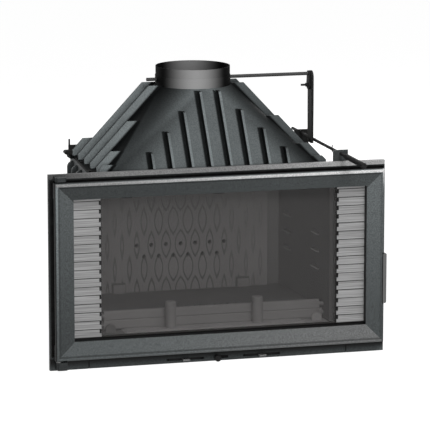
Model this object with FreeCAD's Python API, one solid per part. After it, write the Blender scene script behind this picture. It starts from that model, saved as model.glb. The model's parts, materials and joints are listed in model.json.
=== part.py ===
import FreeCAD, Part
import math
import os

# Fireplace insert, in millimetres, +Z up, front towards -Y.
# Pieces are placed with X from the middle, depths (Y) from the door's front face and heights (Z)
# from the floor. At the end they all move along Y, so that the origin lies under the middle.

# Clearances
RUNNING = 0.05
LOOSE = 0.3
SEAT = 0.2

# Door
DOOR_WIDTH = 1104.0
DOOR_HEIGHT = 580.0
DOOR_SILL = 38.0
DOOR_STILE = 62.0
DOOR_TOP_RAIL = 55.0
DOOR_THICK = 17.5
DOOR_RETURN = 18.0
DOOR_EDGE_RADIUS = 11.0
DOOR_DISH = 6.0
DOOR_RIM_INSET = 30.0
DOOR_RIM_WALL = 12.0
DOOR_SEAL_WIDTH = 8.0
DOOR_SEAL_DEPTH = 3.0

# Glass and its fixing
GLASS_THICK = 4.0
GASKET_THICK = 2.0
GASKET_WIDTH = 10.0
GLASS_PLAY = 2.0
CLIP_LENGTH = 34.0
CLIP_REACH = 22.0
CLIP_THICK = 4.0
CLIP_RISE = 11.0
CLIP_SCREW_RADIUS = 3.0
CLIP_HEAD_RADIUS = 5.0
CLIP_HEAD_HEIGHT = 3.0

# Decor panels of stainless slats
SLAT_PITCH = 28.0
SLAT_FIRST_GAP = 2.5
SLAT_PANEL_WIDTH = 94.0
SLAT_SHEET = 1.5
SLAT_RISE = 4.0
SLAT_GROOVE = 2.4
SLAT_LOWER_HEIGHT = 13.0
SLAT_UPPER_SHORTER = 6.0
SLAT_UPPER_STEP = 0.8

# Surround
SURROUND_MARGIN = 11.0
SURROUND_TOP_MARGIN = 22.0
SURROUND_SIDE_STRIP = 5.0
SURROUND_TOP_STRIP = 19.0
SURROUND_DEPTH = 15.0
DOOR_PROUD = 45.0
FRONT_PLATE_THICK = 12.0
FRONT_PLATE_INSET = 3.0

# Hinges on the left
HINGE_AXIS_INSET = 12.0
HINGE_AXIS_DEPTH = 15.0
HINGE_PIN_RADIUS = 5.0
HINGE_PIN_DEPTH = 24.0
HINGE_KNUCKLE_HEIGHT = 50.0
HINGE_KNUCKLE_DEPTH = 30.0
HINGE_BRACKET_WIDTH = 34.0
HINGE_BRACKET_FRONT = 4.0
HINGE_UPPER_HEIGHT = 14.0
HINGE_LOWER_HEIGHT = 26.0
HINGE_GAP = 4.0
HINGE_WASHER_RADIUS = 9.0

# Handle on the right
HANDLE_LENGTH = 168.0
HANDLE_MIDDLE_HEIGHT = 254.0
HANDLE_WIDTH = 12.0
HANDLE_DEPTH = 14.0
HANDLE_OVERHANG = 5.0
HANDLE_PROUD = 3.0
HANDLE_NOTCH_PLAY = 1.5
HANDLE_AXIS_INSET = 16.0
HANDLE_AXIS_DEPTH = 28.0
HANDLE_HUB_RADIUS = 7.5
HANDLE_HUB_HEIGHT = 36.0
HANDLE_PIN_RADIUS = 3.0
HANDLE_LUG_HEIGHT = 14.0
LATCH_THICK = 7.0
STRIKE_THICK = 5.0
STRIKE_GAP = 1.0

# Body
BODY_DEPTH = 500.0
BODY_WIDTH_FRONT = 816.0
BODY_WIDTH_REAR = 748.0
BODY_TOP_BELOW_DOOR = 6.0
WALL = 12.0
BASE_THICK = 12.0
SIDE_RIB_REACH = 20.0
SIDE_RIB_THICK = 10.0
SIDE_RIB_TOP_GAP = 10.0

# Firebox
MOUTH_BOTTOM = 102.0
MOUTH_TOP_MARGIN = 26.0
LINER_THICK = 12.0
LINER_TOP_GAP = 24.0
LINER_SLOT_LENGTH = 64.0
LINER_SLOT_HEIGHT = 8.0
LINER_SLOT_HEIGHTS = (263.0, 321.0, 379.0)
LINER_SLOT_FRONT_DEPTH = 199.0
LINER_SLOT_REAR_DEPTH = 466.0
LINER_SLOT_REAR_RISE = 13.0
LINER_LIP = 5.0
REAR_LINER_THICK = 8.0
FIREBACK_WIDTH = 612.0
FIREBACK_THICK = 15.0
FIREBACK_HEIGHT = 340.0
HOLE_PITCH = 51.2
HOLE_RADIUS = 7.5
HOLE_ROW_HEIGHTS = (256.0, 295.5)
HOLE_ROW_COUNTS = (6, 7)
LEAF_WIDTH = 42.0
LEAF_NARROWING = 7.0
LEAF_LEAST_WIDTH = 14.0
LEAF_HEIGHT = 103.0
LEAF_ROW_PITCH = 81.0
LEAF_LINE = 4.0
LEAF_DEPTH = 5.0
LEAF_ROWS = 5
LEAF_ROWS_UNDER_HOLES = 2
FOOT_WIDTH = 40.0
FOOT_HEIGHT = 30.0
FOOT_DEPTH = 12.0
FOOT_SPREAD = 436.0
HEARTH_TOP = 135.0
HEARTH_THICK = 15.0
HEARTH_FRONT_DEPTH = 145.0
BEARER_SPACING = 440.0
BEARER_THICK = 12.0
GRATE_WIDTH = 300.0
GRATE_DEPTH = 150.0
GRATE_FRONT_GAP = 15.0
GRATE_THICK = 10.0
GRATE_LEDGE = 10.0
GRATE_SLOT = 12.0
GRATE_BARS = 11
PAN_HEIGHT = 70.0
PAN_WALL = 2.0
PAN_PLAY = 10.0
SILL_THICK = 10.0
DEFLECTOR_LUG_GAP = 26.0
DEFLECTOR_HEIGHT = 5.0
DEFLECTOR_END_SLANT = 8.0
DEFLECTOR_GAP = 2.0
SILL_LUG_FROM_LINER = 33.0
SILL_LUG_WIDTH = 34.0
SILL_LUG_HEIGHT = 27.0
SILL_LUG_THICK = 6.0
SILL_LUG_GAP = 26.0
GUARD_THICK = 12.0
GUARD_BAR_HEIGHT = 30.0
GUARD_END_GAP = 14.0
GUARD_BEVEL = 3.0
GUARD_PIN_RADIUS = 6.0
POST_SPACING = 294.0
POST_RADIUS = 17.5
POST_HEIGHT = 87.0
POST_ROUNDING = 3.0
BAFFLE_THICK = 12.0
BAFFLE_FRONT_HEIGHT = 560.0
BAFFLE_FRONT_DEPTH = 230.0
BAFFLE_LEDGE = 14.0
BAFFLE_LEDGE_DEPTH = 40.0
BAFFLE_SIDE_GAP = 3.0

# Hood
FLANGE_THICK = 8.0
HOOD_RISE = 246.0
HOOD_SIDE_GAP = 6.0
HOOD_FRONT_GAP = 1.0
HOOD_REAR_GAP = 6.0
HOOD_CORNER_RADIUS = 26.0
HOOD_WALL = 8.0
HOOD_TOP_RADIUS = 129.0
HOOD_FLAT_ANGLE = 10.0
FIN_THICK = 8.0
FIN_REACH = 30.0
FIN_ROOT = 34.0
FRONT_FIN_COUNT = 8
FRONT_FIN_PITCH = 64.5
FRONT_FIN_OFFSET = 15.0
FRONT_FIN_SLOPE = 0.908
FRONT_FIN_HALF_RUN = 299.0
FRONT_FIN_CLEAR = 2.0
SIDE_FIN_PITCH = 89.0
SIDE_FIN_FRONT_COUNT = 3
SIDE_FIN_REAR_COUNT = 2
SIDE_FIN_BASE_REACH = 20.0
SIDE_FIN_TOP_REACH = 38.0
SIDE_FIN_EASE = 30.0
SIDE_FIN_OVER_TOP = 5.0
CORNER_FIN_DEPTH = 112.0
EAR_LENGTH = 52.0

# Flue collar and damper
FLUE_DIAMETER = 250.0
FLUE_DEPTH = 375.0
COLLAR_WALL = 4.0
COLLAR_HEIGHT = 62.0
SPIGOT_LENGTH = 30.0
SPIGOT_PLAY = 1.5
SHAFT_RADIUS = 5.75
SHAFT_BELOW_RIM = 42.0
SHAFT_LEFT_END = 158.0
DAMPER_PLAY = 3.5
DAMPER_THICK = 3.0
DAMPER_REST_ANGLE = 14.0
DAMPER_SCREW_SPACING = 110.0
DAMPER_SCREW_RADIUS = 3.0
DAMPER_HEAD_RADIUS = 5.5
DAMPER_HEAD_HEIGHT = 3.5

# Lever and push rod
ROD_OUTSIDE_BODY = 12.0
ROD_OUTSIDE_HOOD = 52.0
LEVER_THICK = 8.0
LEVER_DEPTH = 44.0
LEVER_ROD_GAP = 2.0
LEVER_OVER_SHAFT = 10.0
LEVER_UNDER_ROD = 10.0
LEVER_ARM = 224.0
SHAFT_END = 3.0
CRANK_THICK = 7.0
CRANK_EYE_RADIUS = 10.0
CRANK_FOOT_RADIUS = 15.0
CLAMP_BOLT_DROP = 38.0
CLAMP_BOLT_RADIUS = 3.5
CLAMP_HEAD_RADIUS = 6.5
CLAMP_HEAD_HEIGHT = 5.0
CLAMP_NUT_HEIGHT = 7.0
CLAMP_TAIL = 16.0
ROD_RADIUS = 5.0
ROD_FRONT_REACH = 180.0
ROD_REAR_DEPTH = 620.0
ROD_TRAVEL = 58.0
GRIP_RADIUS = 9.0
GRIP_GAP = 3.0
GRIP_TIP = 12.0
DRIVE_PIN_RADIUS = 3.5
DRIVE_PIN_PLAY = 1.0
DRIVE_PIN_HEAD_RADIUS = 6.5
DRIVE_PIN_HEAD_HEIGHT = 3.0
SPLIT_PIN_DEPTH = 165.0
SPLIT_PIN_RADIUS = 1.5
SPLIT_PIN_UP = 14.0
SPLIT_PIN_DOWN = 10.0
BRACKET_THICK = 6.0
BRACKET_WIDTH = 50.0
BRACKET_OVER_ROD = 12.0
BRACKET_OVERLAP = 34.0
BRACKET_FOOT_REACH = 38.0
REAR_BRACKET_GAP = 1.5
REAR_BRACKET_FOOT = 30.0
LEFT_BRACKET_HEIGHT = 35.0
LEFT_BRACKET_WIDTH = 28.0
LEFT_BRACKET_OUT = 4.0
LUG_WIDTH = 27.0
LUG_OVERHANG = 19.0
LUG_HEIGHT = 13.0
LUG_DEPTH = 26.0
LUG_OVER_FLANGE = 7.0
LUG_PIN_RADIUS = 3.0
LUG_PIN_HEIGHT = 20.0
BRACKET_SCREW_RADIUS = 3.0
BRACKET_HEAD_RADIUS = 5.5
BRACKET_HEAD_HEIGHT = 4.0

# Plinth panel and air controls
PLINTH_WIDTH = 870.0
PLINTH_HEIGHT = 42.0
PLINTH_THICK = 4.0
PLINTH_SETBACK = 1.0
PLINTH_GAP = 1.5
CONTROL_OFFSET = 16.0
CONTROL_HEIGHT = 12.0
SLIDER_SPACING = 258.0
SLIDER_TRAVEL = 45.0
SLIDER_PLATE_LENGTH = 104.0
SLIDER_PLATE_HEIGHT = 15.0
SLIDER_PLATE_THICK = 3.0
SLIDER_TAB_WIDTH = 24.0
SLIDER_TAB_HEIGHT = 6.0
SLIDER_TAB_REACH = 20.0
SLOT_PLAY = 1.0
SLOT_SPARE = 6.0
RAIL_HEIGHT = 3.0
KNOB_BEFORE_MIDDLE = 24.0
KNOB_TRAVEL = 35.0
KNOB_RADIUS = 11.0
KNOB_LENGTH = 16.0
KNOB_EDGE = 3.0
KNOB_STEM_RADIUS = 4.0
KNOB_STEM_REACH = 8.0
KNOB_PLATE_LENGTH = 14.0

# Bolts of the surround and the hood
BOLT_RADIUS = 3.0
BOLT_HEAD_RADIUS = 5.0
BOLT_HEAD_HEIGHT = 4.0
BOLT_GRIP = 8.0

# Values worked out from the sizes above
door_half = DOOR_WIDTH / 2
door_top = DOOR_SILL + DOOR_HEIGHT
surround_half = door_half + SURROUND_MARGIN
surround_top = door_top + SURROUND_TOP_MARGIN
opening_half = surround_half - SURROUND_SIDE_STRIP
opening_top = surround_top - SURROUND_TOP_STRIP
opening_bottom = PLINTH_HEIGHT + PLINTH_GAP
plate_front = DOOR_PROUD + SURROUND_DEPTH
plate_rear = plate_front + FRONT_PLATE_THICK
body_rear = plate_rear + BODY_DEPTH
body_top = door_top - BODY_TOP_BELOW_DOOR
hood_base = body_top + FLANGE_THICK
hood_top = hood_base + HOOD_RISE
collar_top = hood_top + COLLAR_HEIGHT
flue_radius = FLUE_DIAMETER / 2
shaft_height = collar_top - SHAFT_BELOW_RIM
rod_height = shaft_height - LEVER_ARM
rim_half = door_half - DOOR_RIM_INSET
rim_bottom = DOOR_SILL + DOOR_RIM_INSET
rim_top = door_top - DOOR_RIM_INSET
rim_rear = plate_front - DOOR_SEAL_DEPTH
inner_half = door_half - DOOR_STILE
inner_bottom = DOOR_SILL + DOOR_STILE
inner_top = door_top - DOOR_TOP_RAIL
return_rear = DOOR_THICK + DOOR_RETURN
glass_front = return_rear + GASKET_THICK
glass_rear = glass_front + GLASS_THICK
hinge_x = -door_half + HINGE_AXIS_INSET
handle_x = door_half - HANDLE_AXIS_INSET
bolt_row_half = (BODY_WIDTH_FRONT + BODY_WIDTH_REAR) / 4 - WALL / 2
hood_half = min(BODY_WIDTH_REAR / 2 - HOOD_SIDE_GAP, bolt_row_half - 2 * BOLT_HEAD_RADIUS)
body_half_front = BODY_WIDTH_FRONT / 2
rod_x = max(body_half_front + ROD_OUTSIDE_BODY, hood_half + ROD_OUTSIDE_HOOD)
lever_right = rod_x - ROD_RADIUS - LEVER_ROD_GAP
lever_left = lever_right - LEVER_THICK
crank_left = lever_left - CRANK_THICK
hood_front = plate_rear + HOOD_FRONT_GAP
hood_rear = body_rear - HOOD_REAR_GAP
guard_base = MOUTH_BOTTOM + DEFLECTOR_HEIGHT
guard_front = HEARTH_FRONT_DEPTH - SILL_THICK - GUARD_THICK
post_depth = guard_front - POST_RADIUS - LOOSE
plate_half = surround_half - FRONT_PLATE_INSET
plate_top = surround_top - FRONT_PLATE_INSET
rear_fin_depth = FLUE_DEPTH + (SIDE_FIN_REAR_COUNT - 0.5) * SIDE_FIN_PITCH
rear_bracket_depth = rear_fin_depth + FIN_THICK / 2 + REAR_BRACKET_GAP + BRACKET_THICK / 2
bracket_low = plate_top - BRACKET_OVERLAP
bracket_inner = body_half_front + LOOSE
bracket_outer = rod_x + BRACKET_FOOT_REACH
grip_rear = plate_rear - ROD_TRAVEL - GRIP_GAP
y_shift = (ROD_FRONT_REACH - ROD_REAR_DEPTH) / 2

nodes = {}


def vec(x, y, z):
    return FreeCAD.Vector(x, y, z)


def box(x0, x1, y0, y1, z0, z1):
    return Part.makeBox(x1 - x0, y1 - y0, z1 - z0, vec(x0, y0, z0))


def rod(radius, start, end):
    axis = end.sub(start)
    return Part.makeCylinder(radius, axis.Length, start, axis)


def prism(points, along):
    wire = Part.makePolygon(points + [points[0]])
    return Part.Face(wire).extrude(along)


def fuse(shapes):
    first = shapes[0]
    return first.multiFuse(shapes[1:]).removeSplitter()


def frame(outer, inner, y0, y1):
    """A flat rectangular ring; outer and inner are (half width, bottom, top)."""
    full = box(-outer[0], outer[0], y0, y1, outer[1], outer[2])
    hole = box(-inner[0], inner[0], y0, y1, inner[1], inner[2])
    return full.cut(hole)


def mirrored(shape):
    return shape.mirror(vec(0, 0, 0), vec(1, 0, 0))


def turned(shape, centre, axis, angle):
    copy = shape.copy()
    copy.rotate(centre, axis, angle)
    return copy


def body_half(depth, inset=0.0):
    """Half width of the body's tapered plan at a depth, less an inset."""
    share = (depth - plate_rear) / BODY_DEPTH
    width = BODY_WIDTH_FRONT + share * (BODY_WIDTH_REAR - BODY_WIDTH_FRONT)
    return width / 2 - inset


def tapered(inset, y0, y1, z0, z1):
    """A block that follows the body's tapered plan, inset from its outer faces."""
    front = body_half(y0, inset)
    rear = body_half(y1, inset)
    corners = [vec(-front, y0, z0), vec(front, y0, z0), vec(rear, y1, z0), vec(-rear, y1, z0)]
    return prism(corners, vec(0, 0, z1 - z0))


def screw(base, along, shank_radius, shank_length, head_radius, head_height):
    """A round-headed screw; base is under the head, and the shank runs along the direction."""
    shank = Part.makeCylinder(shank_radius, shank_length, base, along)
    head = Part.makeCylinder(head_radius, head_height, base, along.negative())
    return shank.fuse(head).removeSplitter()


# Surround, with a gap in its lower band for the plinth panel
def make_surround():
    ring = frame((surround_half, 0, surround_top), (opening_half, opening_bottom, opening_top),
                 DOOR_PROUD, plate_front)
    gap = PLINTH_WIDTH / 2 + PLINTH_GAP
    ring = ring.cut(box(-gap, gap, DOOR_PROUD, plate_front, 0, opening_bottom))
    holes = [rod(BOLT_RADIUS + SEAT, vec(x, plate_front - BOLT_GRIP, z), vec(x, plate_front, z))
             for x, z in surround_bolt_places()]
    return ring.cut(Part.makeCompound(holes))


def surround_bolt_places():
    low_x = (PLINTH_WIDTH / 2 + PLINTH_GAP + plate_half) / 2
    low_places = [(s * low_x, opening_bottom / 2) for s in (-1, 1)]
    height = (opening_top + plate_top) / 2
    return low_places + [(s * plate_half / 2, height) for s in (-1, 1)]


# Front plate that carries the surround, the seal face and the body
def make_front_plate():
    mouth = body_half(plate_rear, WALL)
    plate = frame((plate_half, 0, plate_top),
                  (mouth, MOUTH_BOTTOM, body_top - MOUTH_TOP_MARGIN), plate_front, plate_rear)
    cuts = [rod(BOLT_RADIUS + SEAT, vec(x, plate_front, z), vec(x, plate_rear, z))
            for x, z in surround_bolt_places()]
    for centre in slider_centres():
        reach = SLIDER_PLATE_LENGTH / 2
        cuts.append(box(centre - reach, centre + reach, plate_front, plate_rear,
                        BASE_THICK + LOOSE, BASE_THICK + CONTROL_HEIGHT))
    for x, z in front_bracket_screws():
        cuts.append(rod(BRACKET_SCREW_RADIUS + SEAT, vec(x, plate_front, z), vec(x, plate_rear, z)))
    return plate.cut(Part.makeCompound(cuts))


def make_surround_bolts():
    length = FRONT_PLATE_THICK + BOLT_GRIP
    bolts = [screw(vec(x, plate_rear, z), vec(0, -1, 0), BOLT_RADIUS, length,
                   BOLT_HEAD_RADIUS, BOLT_HEAD_HEIGHT) for x, z in surround_bolt_places()]
    return Part.makeCompound(bolts)


# Body: base with bearers, ribbed side panels and back panel
def make_base():
    plate = tapered(0, plate_rear, body_rear, 0, BASE_THICK)
    bearer_top = HEARTH_TOP - HEARTH_THICK
    inner_rear = body_rear - WALL
    bearers = []
    for side in (-1, 1):
        x = side * BEARER_SPACING / 2
        half = BEARER_THICK / 2
        bearers.append(box(x - half, x + half, HEARTH_FRONT_DEPTH, inner_rear, BASE_THICK, bearer_top))
    return fuse([plate] + bearers)


def side_rib_depths():
    count = SIDE_FIN_FRONT_COUNT + SIDE_FIN_REAR_COUNT
    first = FLUE_DEPTH - (SIDE_FIN_FRONT_COUNT - 0.5) * SIDE_FIN_PITCH
    return [first + i * SIDE_FIN_PITCH for i in range(count)]


def make_side_panel():
    outer = tapered(0, plate_rear, body_rear, BASE_THICK, body_top)
    inner = tapered(WALL, plate_rear, body_rear, BASE_THICK, body_top)
    right = box(0, BODY_WIDTH_FRONT, plate_rear, body_rear, BASE_THICK, body_top)
    wall = outer.cut(inner).common(right)
    ribs = []
    rib_top = body_top - SIDE_RIB_TOP_GAP
    for depth in side_rib_depths():
        root = body_half(depth, WALL / 2)
        face = body_half(depth)
        tip = face + SIDE_RIB_REACH
        y = depth - SIDE_RIB_THICK / 2
        line = [Part.LineSegment(vec(root, y, BASE_THICK), vec(tip, y, BASE_THICK)).toShape(),
                Part.LineSegment(vec(tip, y, BASE_THICK), vec(tip, y, rib_top - SIDE_RIB_REACH)).toShape()]
        bend = math.sqrt(0.5) * SIDE_RIB_REACH
        mid = vec(face + bend, y, rib_top - SIDE_RIB_REACH + bend)
        line.append(Part.Arc(vec(tip, y, rib_top - SIDE_RIB_REACH), mid, vec(face, y, rib_top)).toShape())
        line.append(Part.LineSegment(vec(face, y, rib_top), vec(root, y, rib_top)).toShape())
        line.append(Part.LineSegment(vec(root, y, rib_top), vec(root, y, BASE_THICK)).toShape())
        ribs.append(Part.Face(Part.Wire(line)).extrude(vec(0, SIDE_RIB_THICK, 0)))
    return fuse([wall] + ribs)


def make_back_panel():
    return tapered(WALL, body_rear - WALL, body_rear, BASE_THICK, body_top)


# Firebox linings
def make_liner():
    rear = body_rear - WALL - REAR_LINER_THICK
    top = body_top - LINER_TOP_GAP
    outer = tapered(WALL, plate_rear, rear, BASE_THICK, top)
    inner = tapered(WALL + LINER_THICK, plate_rear, rear, BASE_THICK, top)
    right = box(0, BODY_WIDTH_FRONT, plate_rear, rear, BASE_THICK, top)
    liner = outer.cut(inner).common(right)
    cuts = []
    pieces = []
    half = LINER_SLOT_LENGTH / 2
    for depth, rise in ((LINER_SLOT_FRONT_DEPTH, 0.0), (LINER_SLOT_REAR_DEPTH, LINER_SLOT_REAR_RISE)):
        inside = tapered(WALL + LINER_THICK - LINER_LIP / 2, depth - half, depth + half, BASE_THICK, top)
        lip_face = tapered(WALL + LINER_THICK + LINER_LIP, depth - half, depth + half, BASE_THICK, top)
        for height in LINER_SLOT_HEIGHTS:
            z = height + rise
            cuts.append(box(body_half(rear, WALL + 2 * LINER_THICK), body_half(depth),
                            depth - half, depth + half, z, z + LINER_SLOT_HEIGHT))
            lip = box(0, body_half_front, depth - half, depth + half, z - LINER_LIP, z)
            pieces.append(lip.common(inside).cut(lip_face))
    guard_y = guard_front + GUARD_THICK / 2
    face = body_half(guard_y, WALL + LINER_THICK)
    for row in range(2):
        z = guard_base + (row + 0.5) * GUARD_BAR_HEIGHT
        cuts.append(rod(GUARD_PIN_RADIUS + SEAT, vec(face - LINER_THICK, guard_y, z),
                        vec(face + LINER_THICK, guard_y, z)))
    inner_half = body_half(body_rear - WALL, WALL + LINER_THICK) - BAFFLE_LEDGE
    for depth in (BAFFLE_FRONT_DEPTH + BAFFLE_LEDGE_DEPTH, rear - 2 * BAFFLE_LEDGE_DEPTH):
        z = baffle_underside(depth)
        z_far = baffle_underside(depth + BAFFLE_LEDGE_DEPTH)
        x1 = body_half(depth, WALL + LINER_THICK / 2)
        ledge = [vec(inner_half, depth, z - BAFFLE_LEDGE), vec(inner_half, depth, z),
                 vec(inner_half, depth + BAFFLE_LEDGE_DEPTH, z_far),
                 vec(inner_half, depth + BAFFLE_LEDGE_DEPTH, z_far - BAFFLE_LEDGE)]
        block = prism(ledge, vec(x1 - inner_half, 0, 0))
        pieces.append(block.common(tapered(WALL, plate_rear, rear, 0, body_top)))
    return fuse([liner.cut(Part.makeCompound(cuts))] + pieces)


def baffle_underside(depth):
    rear = body_rear - WALL - REAR_LINER_THICK
    share = (depth - BAFFLE_FRONT_DEPTH) / (rear - BAFFLE_FRONT_DEPTH)
    rear_height = HEARTH_TOP + FIREBACK_HEIGHT
    return BAFFLE_FRONT_HEIGHT + share * (rear_height - BAFFLE_FRONT_HEIGHT)


def make_baffle():
    rear = body_rear - WALL - REAR_LINER_THICK
    narrowest = min(body_half(rear, WALL + LINER_THICK), body_half(BAFFLE_FRONT_DEPTH, WALL + LINER_THICK))
    half = narrowest - BAFFLE_SIDE_GAP
    section = [vec(-half, BAFFLE_FRONT_DEPTH, baffle_underside(BAFFLE_FRONT_DEPTH)),
               vec(-half, rear, baffle_underside(rear)),
               vec(-half, rear, baffle_underside(rear) + BAFFLE_THICK),
               vec(-half, BAFFLE_FRONT_DEPTH, baffle_underside(BAFFLE_FRONT_DEPTH) + BAFFLE_THICK)]
    return prism(section, vec(2 * half, 0, 0))


def make_rear_liner():
    y1 = body_rear - WALL
    return tapered(WALL, y1 - REAR_LINER_THICK, y1, HEARTH_TOP, body_top - LINER_TOP_GAP)


def leaf_line(x, z):
    """A pointed-oval line to engrave in the fireback; leaves get narrower away from the middle."""
    front = body_rear - WALL - REAR_LINER_THICK - FIREBACK_THICK
    width = max(LEAF_WIDTH - LEAF_NARROWING * abs(x) / HOLE_PITCH, LEAF_LEAST_WIDTH)
    line = leaf_face(x, z, width, 0).cut(leaf_face(x, z, width, LEAF_LINE))
    line.translate(vec(0, front, 0))
    return line.extrude(vec(0, LEAF_DEPTH, 0))


def leaf_face(x, z, width, inset):
    half_w = width / 2 - inset
    half_h = LEAF_HEIGHT / 2 - inset * LEAF_HEIGHT / width
    low = vec(x, 0, z - half_h)
    high = vec(x, 0, z + half_h)
    right = Part.Arc(low, vec(x + half_w, 0, z), high).toShape()
    left = Part.Arc(high, vec(x - half_w, 0, z), low).toShape()
    return Part.Face(Part.Wire([right, left]))


def make_fireback():
    rear = body_rear - WALL - REAR_LINER_THICK
    front = rear - FIREBACK_THICK
    half = FIREBACK_WIDTH / 2
    plate = box(-half, half, front, rear, HEARTH_TOP, HEARTH_TOP + FIREBACK_HEIGHT)
    cuts = []
    lowest = HOLE_ROW_HEIGHTS[-1] - LEAF_ROWS_UNDER_HOLES * LEAF_ROW_PITCH
    for row in range(LEAF_ROWS):
        z = lowest + row * LEAF_ROW_PITCH
        count = int((half - LEAF_LEAST_WIDTH) / HOLE_PITCH)
        for i in range(-count - row % 2, count + 1):
            cuts.append(leaf_line((i + 0.5 * (row % 2)) * HOLE_PITCH, z))
    for count, height in zip(HOLE_ROW_COUNTS, HOLE_ROW_HEIGHTS):
        for i in range(count):
            x = (i - (count - 1) / 2) * HOLE_PITCH
            cuts.append(rod(HOLE_RADIUS, vec(x, front, height), vec(x, rear, height)))
    for cut in cuts:
        plate = plate.cut(cut)
    feet = [box(s * FOOT_SPREAD / 2 - FOOT_WIDTH / 2, s * FOOT_SPREAD / 2 + FOOT_WIDTH / 2,
                front - FOOT_DEPTH, front, HEARTH_TOP, HEARTH_TOP + FOOT_HEIGHT) for s in (-1, 1)]
    return fuse([plate] + feet)


# Hearth: plate with a grate over the ash pan, front sill, log guard and posts
def grate_place():
    y0 = HEARTH_FRONT_DEPTH + GRATE_FRONT_GAP
    return -GRATE_WIDTH / 2, GRATE_WIDTH / 2, y0, y0 + GRATE_DEPTH


def make_hearth():
    y1 = body_rear - WALL
    plate = tapered(WALL + LINER_THICK + LOOSE, HEARTH_FRONT_DEPTH, y1 - REAR_LINER_THICK - LOOSE,
                    HEARTH_TOP - HEARTH_THICK, HEARTH_TOP)
    x0, x1, y0, y1 = grate_place()
    rebate = box(x0, x1, y0, y1, HEARTH_TOP - GRATE_THICK, HEARTH_TOP)
    through = box(x0 + GRATE_LEDGE, x1 - GRATE_LEDGE, y0 + GRATE_LEDGE, y1 - GRATE_LEDGE,
                  HEARTH_TOP - HEARTH_THICK, HEARTH_TOP)
    return plate.cut(rebate).cut(through)


def make_grate():
    x0, x1, y0, y1 = grate_place()
    plate = box(x0 + LOOSE, x1 - LOOSE, y0 + LOOSE, y1 - LOOSE, HEARTH_TOP - GRATE_THICK, HEARTH_TOP)
    inner = GRATE_WIDTH - 4 * GRATE_LEDGE
    slots = []
    for i in range(GRATE_BARS):
        x = (i - (GRATE_BARS - 1) / 2) * inner / GRATE_BARS
        slots.append(box(x - GRATE_SLOT / 2, x + GRATE_SLOT / 2, y0 + 2 * GRATE_LEDGE,
                         y1 - 2 * GRATE_LEDGE, HEARTH_TOP - GRATE_THICK, HEARTH_TOP))
    return plate.cut(Part.makeCompound(slots))


def make_ash_pan():
    half = BEARER_SPACING / 2 - BEARER_THICK / 2 - PAN_PLAY
    y0 = HEARTH_FRONT_DEPTH + PAN_PLAY
    y1 = body_rear - WALL - REAR_LINER_THICK - PAN_PLAY
    outer = box(-half, half, y0, y1, BASE_THICK, BASE_THICK + PAN_HEIGHT)
    inner = box(-half + PAN_WALL, half - PAN_WALL, y0 + PAN_WALL, y1 - PAN_WALL,
                BASE_THICK + PAN_WALL, BASE_THICK + PAN_HEIGHT)
    return outer.cut(inner)


def make_sill():
    inset = WALL + LINER_THICK + LOOSE
    plate = tapered(inset, plate_rear, HEARTH_FRONT_DEPTH, MOUTH_BOTTOM - SILL_THICK, MOUTH_BOTTOM)
    half = body_half(HEARTH_FRONT_DEPTH, inset)
    leg = box(-half, half, HEARTH_FRONT_DEPTH - SILL_THICK, HEARTH_FRONT_DEPTH,
              BASE_THICK, MOUTH_BOTTOM - SILL_THICK)
    ledge = box(-half, half, HEARTH_FRONT_DEPTH - SILL_THICK, HEARTH_FRONT_DEPTH,
                MOUTH_BOTTOM, HEARTH_TOP)
    return fuse([plate, leg, ledge, make_sill_lug(-1), make_sill_lug(1)])


def sill_lug_place():
    y = plate_rear + SILL_LUG_GAP
    return body_half(y, WALL + LINER_THICK) - SILL_LUG_FROM_LINER, y


def make_sill_lug(side):
    """A lug with a round top, cast on the sill before each end of the log guard."""
    x, y = sill_lug_place()
    x = side * x
    half = SILL_LUG_WIDTH / 2
    crown = MOUTH_BOTTOM + SILL_LUG_HEIGHT
    shoulder = crown - half / 2
    points = [vec(x + half, y, shoulder), vec(x - half, y, shoulder),
              vec(x - half, y, MOUTH_BOTTOM), vec(x + half, y, MOUTH_BOTTOM)]
    edges = [Part.LineSegment(points[i], points[(i + 1) % 4]).toShape() for i in (1, 2, 3)]
    edges.append(Part.Arc(points[0], vec(x, y, crown), points[1]).toShape())
    return Part.Face(Part.Wire(edges)).extrude(vec(0, SILL_LUG_THICK, 0))


def make_deflector():
    half = sill_lug_place()[0] - SILL_LUG_WIDTH / 2 - DEFLECTOR_LUG_GAP
    y0 = plate_rear + DEFLECTOR_GAP
    y1 = HEARTH_FRONT_DEPTH - SILL_THICK
    top_half = half - DEFLECTOR_END_SLANT
    section = [vec(-half, y0, MOUTH_BOTTOM), vec(half, y0, MOUTH_BOTTOM),
               vec(top_half, y0, guard_base), vec(-top_half, y0, guard_base)]
    return prism(section, vec(0, y1 - y0, 0))


def make_log_guard():
    bars = []
    half = body_half(guard_front + GUARD_THICK, WALL + LINER_THICK) - GUARD_END_GAP
    middle = guard_front + GUARD_THICK / 2
    pin_end = body_half(middle, WALL + LINER_THICK / 2)
    for row in range(2):
        z0 = guard_base + row * GUARD_BAR_HEIGHT
        z1 = z0 + GUARD_BAR_HEIGHT
        y0 = guard_front
        y1 = y0 + GUARD_THICK
        section = [vec(-half, y0 + GUARD_BEVEL, z0), vec(-half, y1, z0), vec(-half, y1, z1),
                   vec(-half, y0 + GUARD_BEVEL, z1), vec(-half, y0, z1 - GUARD_BEVEL),
                   vec(-half, y0, z0 + GUARD_BEVEL)]
        bars.append(prism(section, vec(2 * half, 0, 0)))
        middle_z = (z0 + z1) / 2
        bars.append(rod(GUARD_PIN_RADIUS, vec(-pin_end, middle, middle_z), vec(pin_end, middle, middle_z)))
    return fuse(bars)


def make_post(side):
    x = side * POST_SPACING / 2
    top = guard_base + POST_HEIGHT
    post = rod(POST_RADIUS, vec(x, post_depth, guard_base), vec(x, post_depth, top))
    rim = [e for e in post.Edges if e.BoundBox.ZMin > top - POST_ROUNDING]
    return post.makeFillet(POST_ROUNDING, rim)


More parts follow.
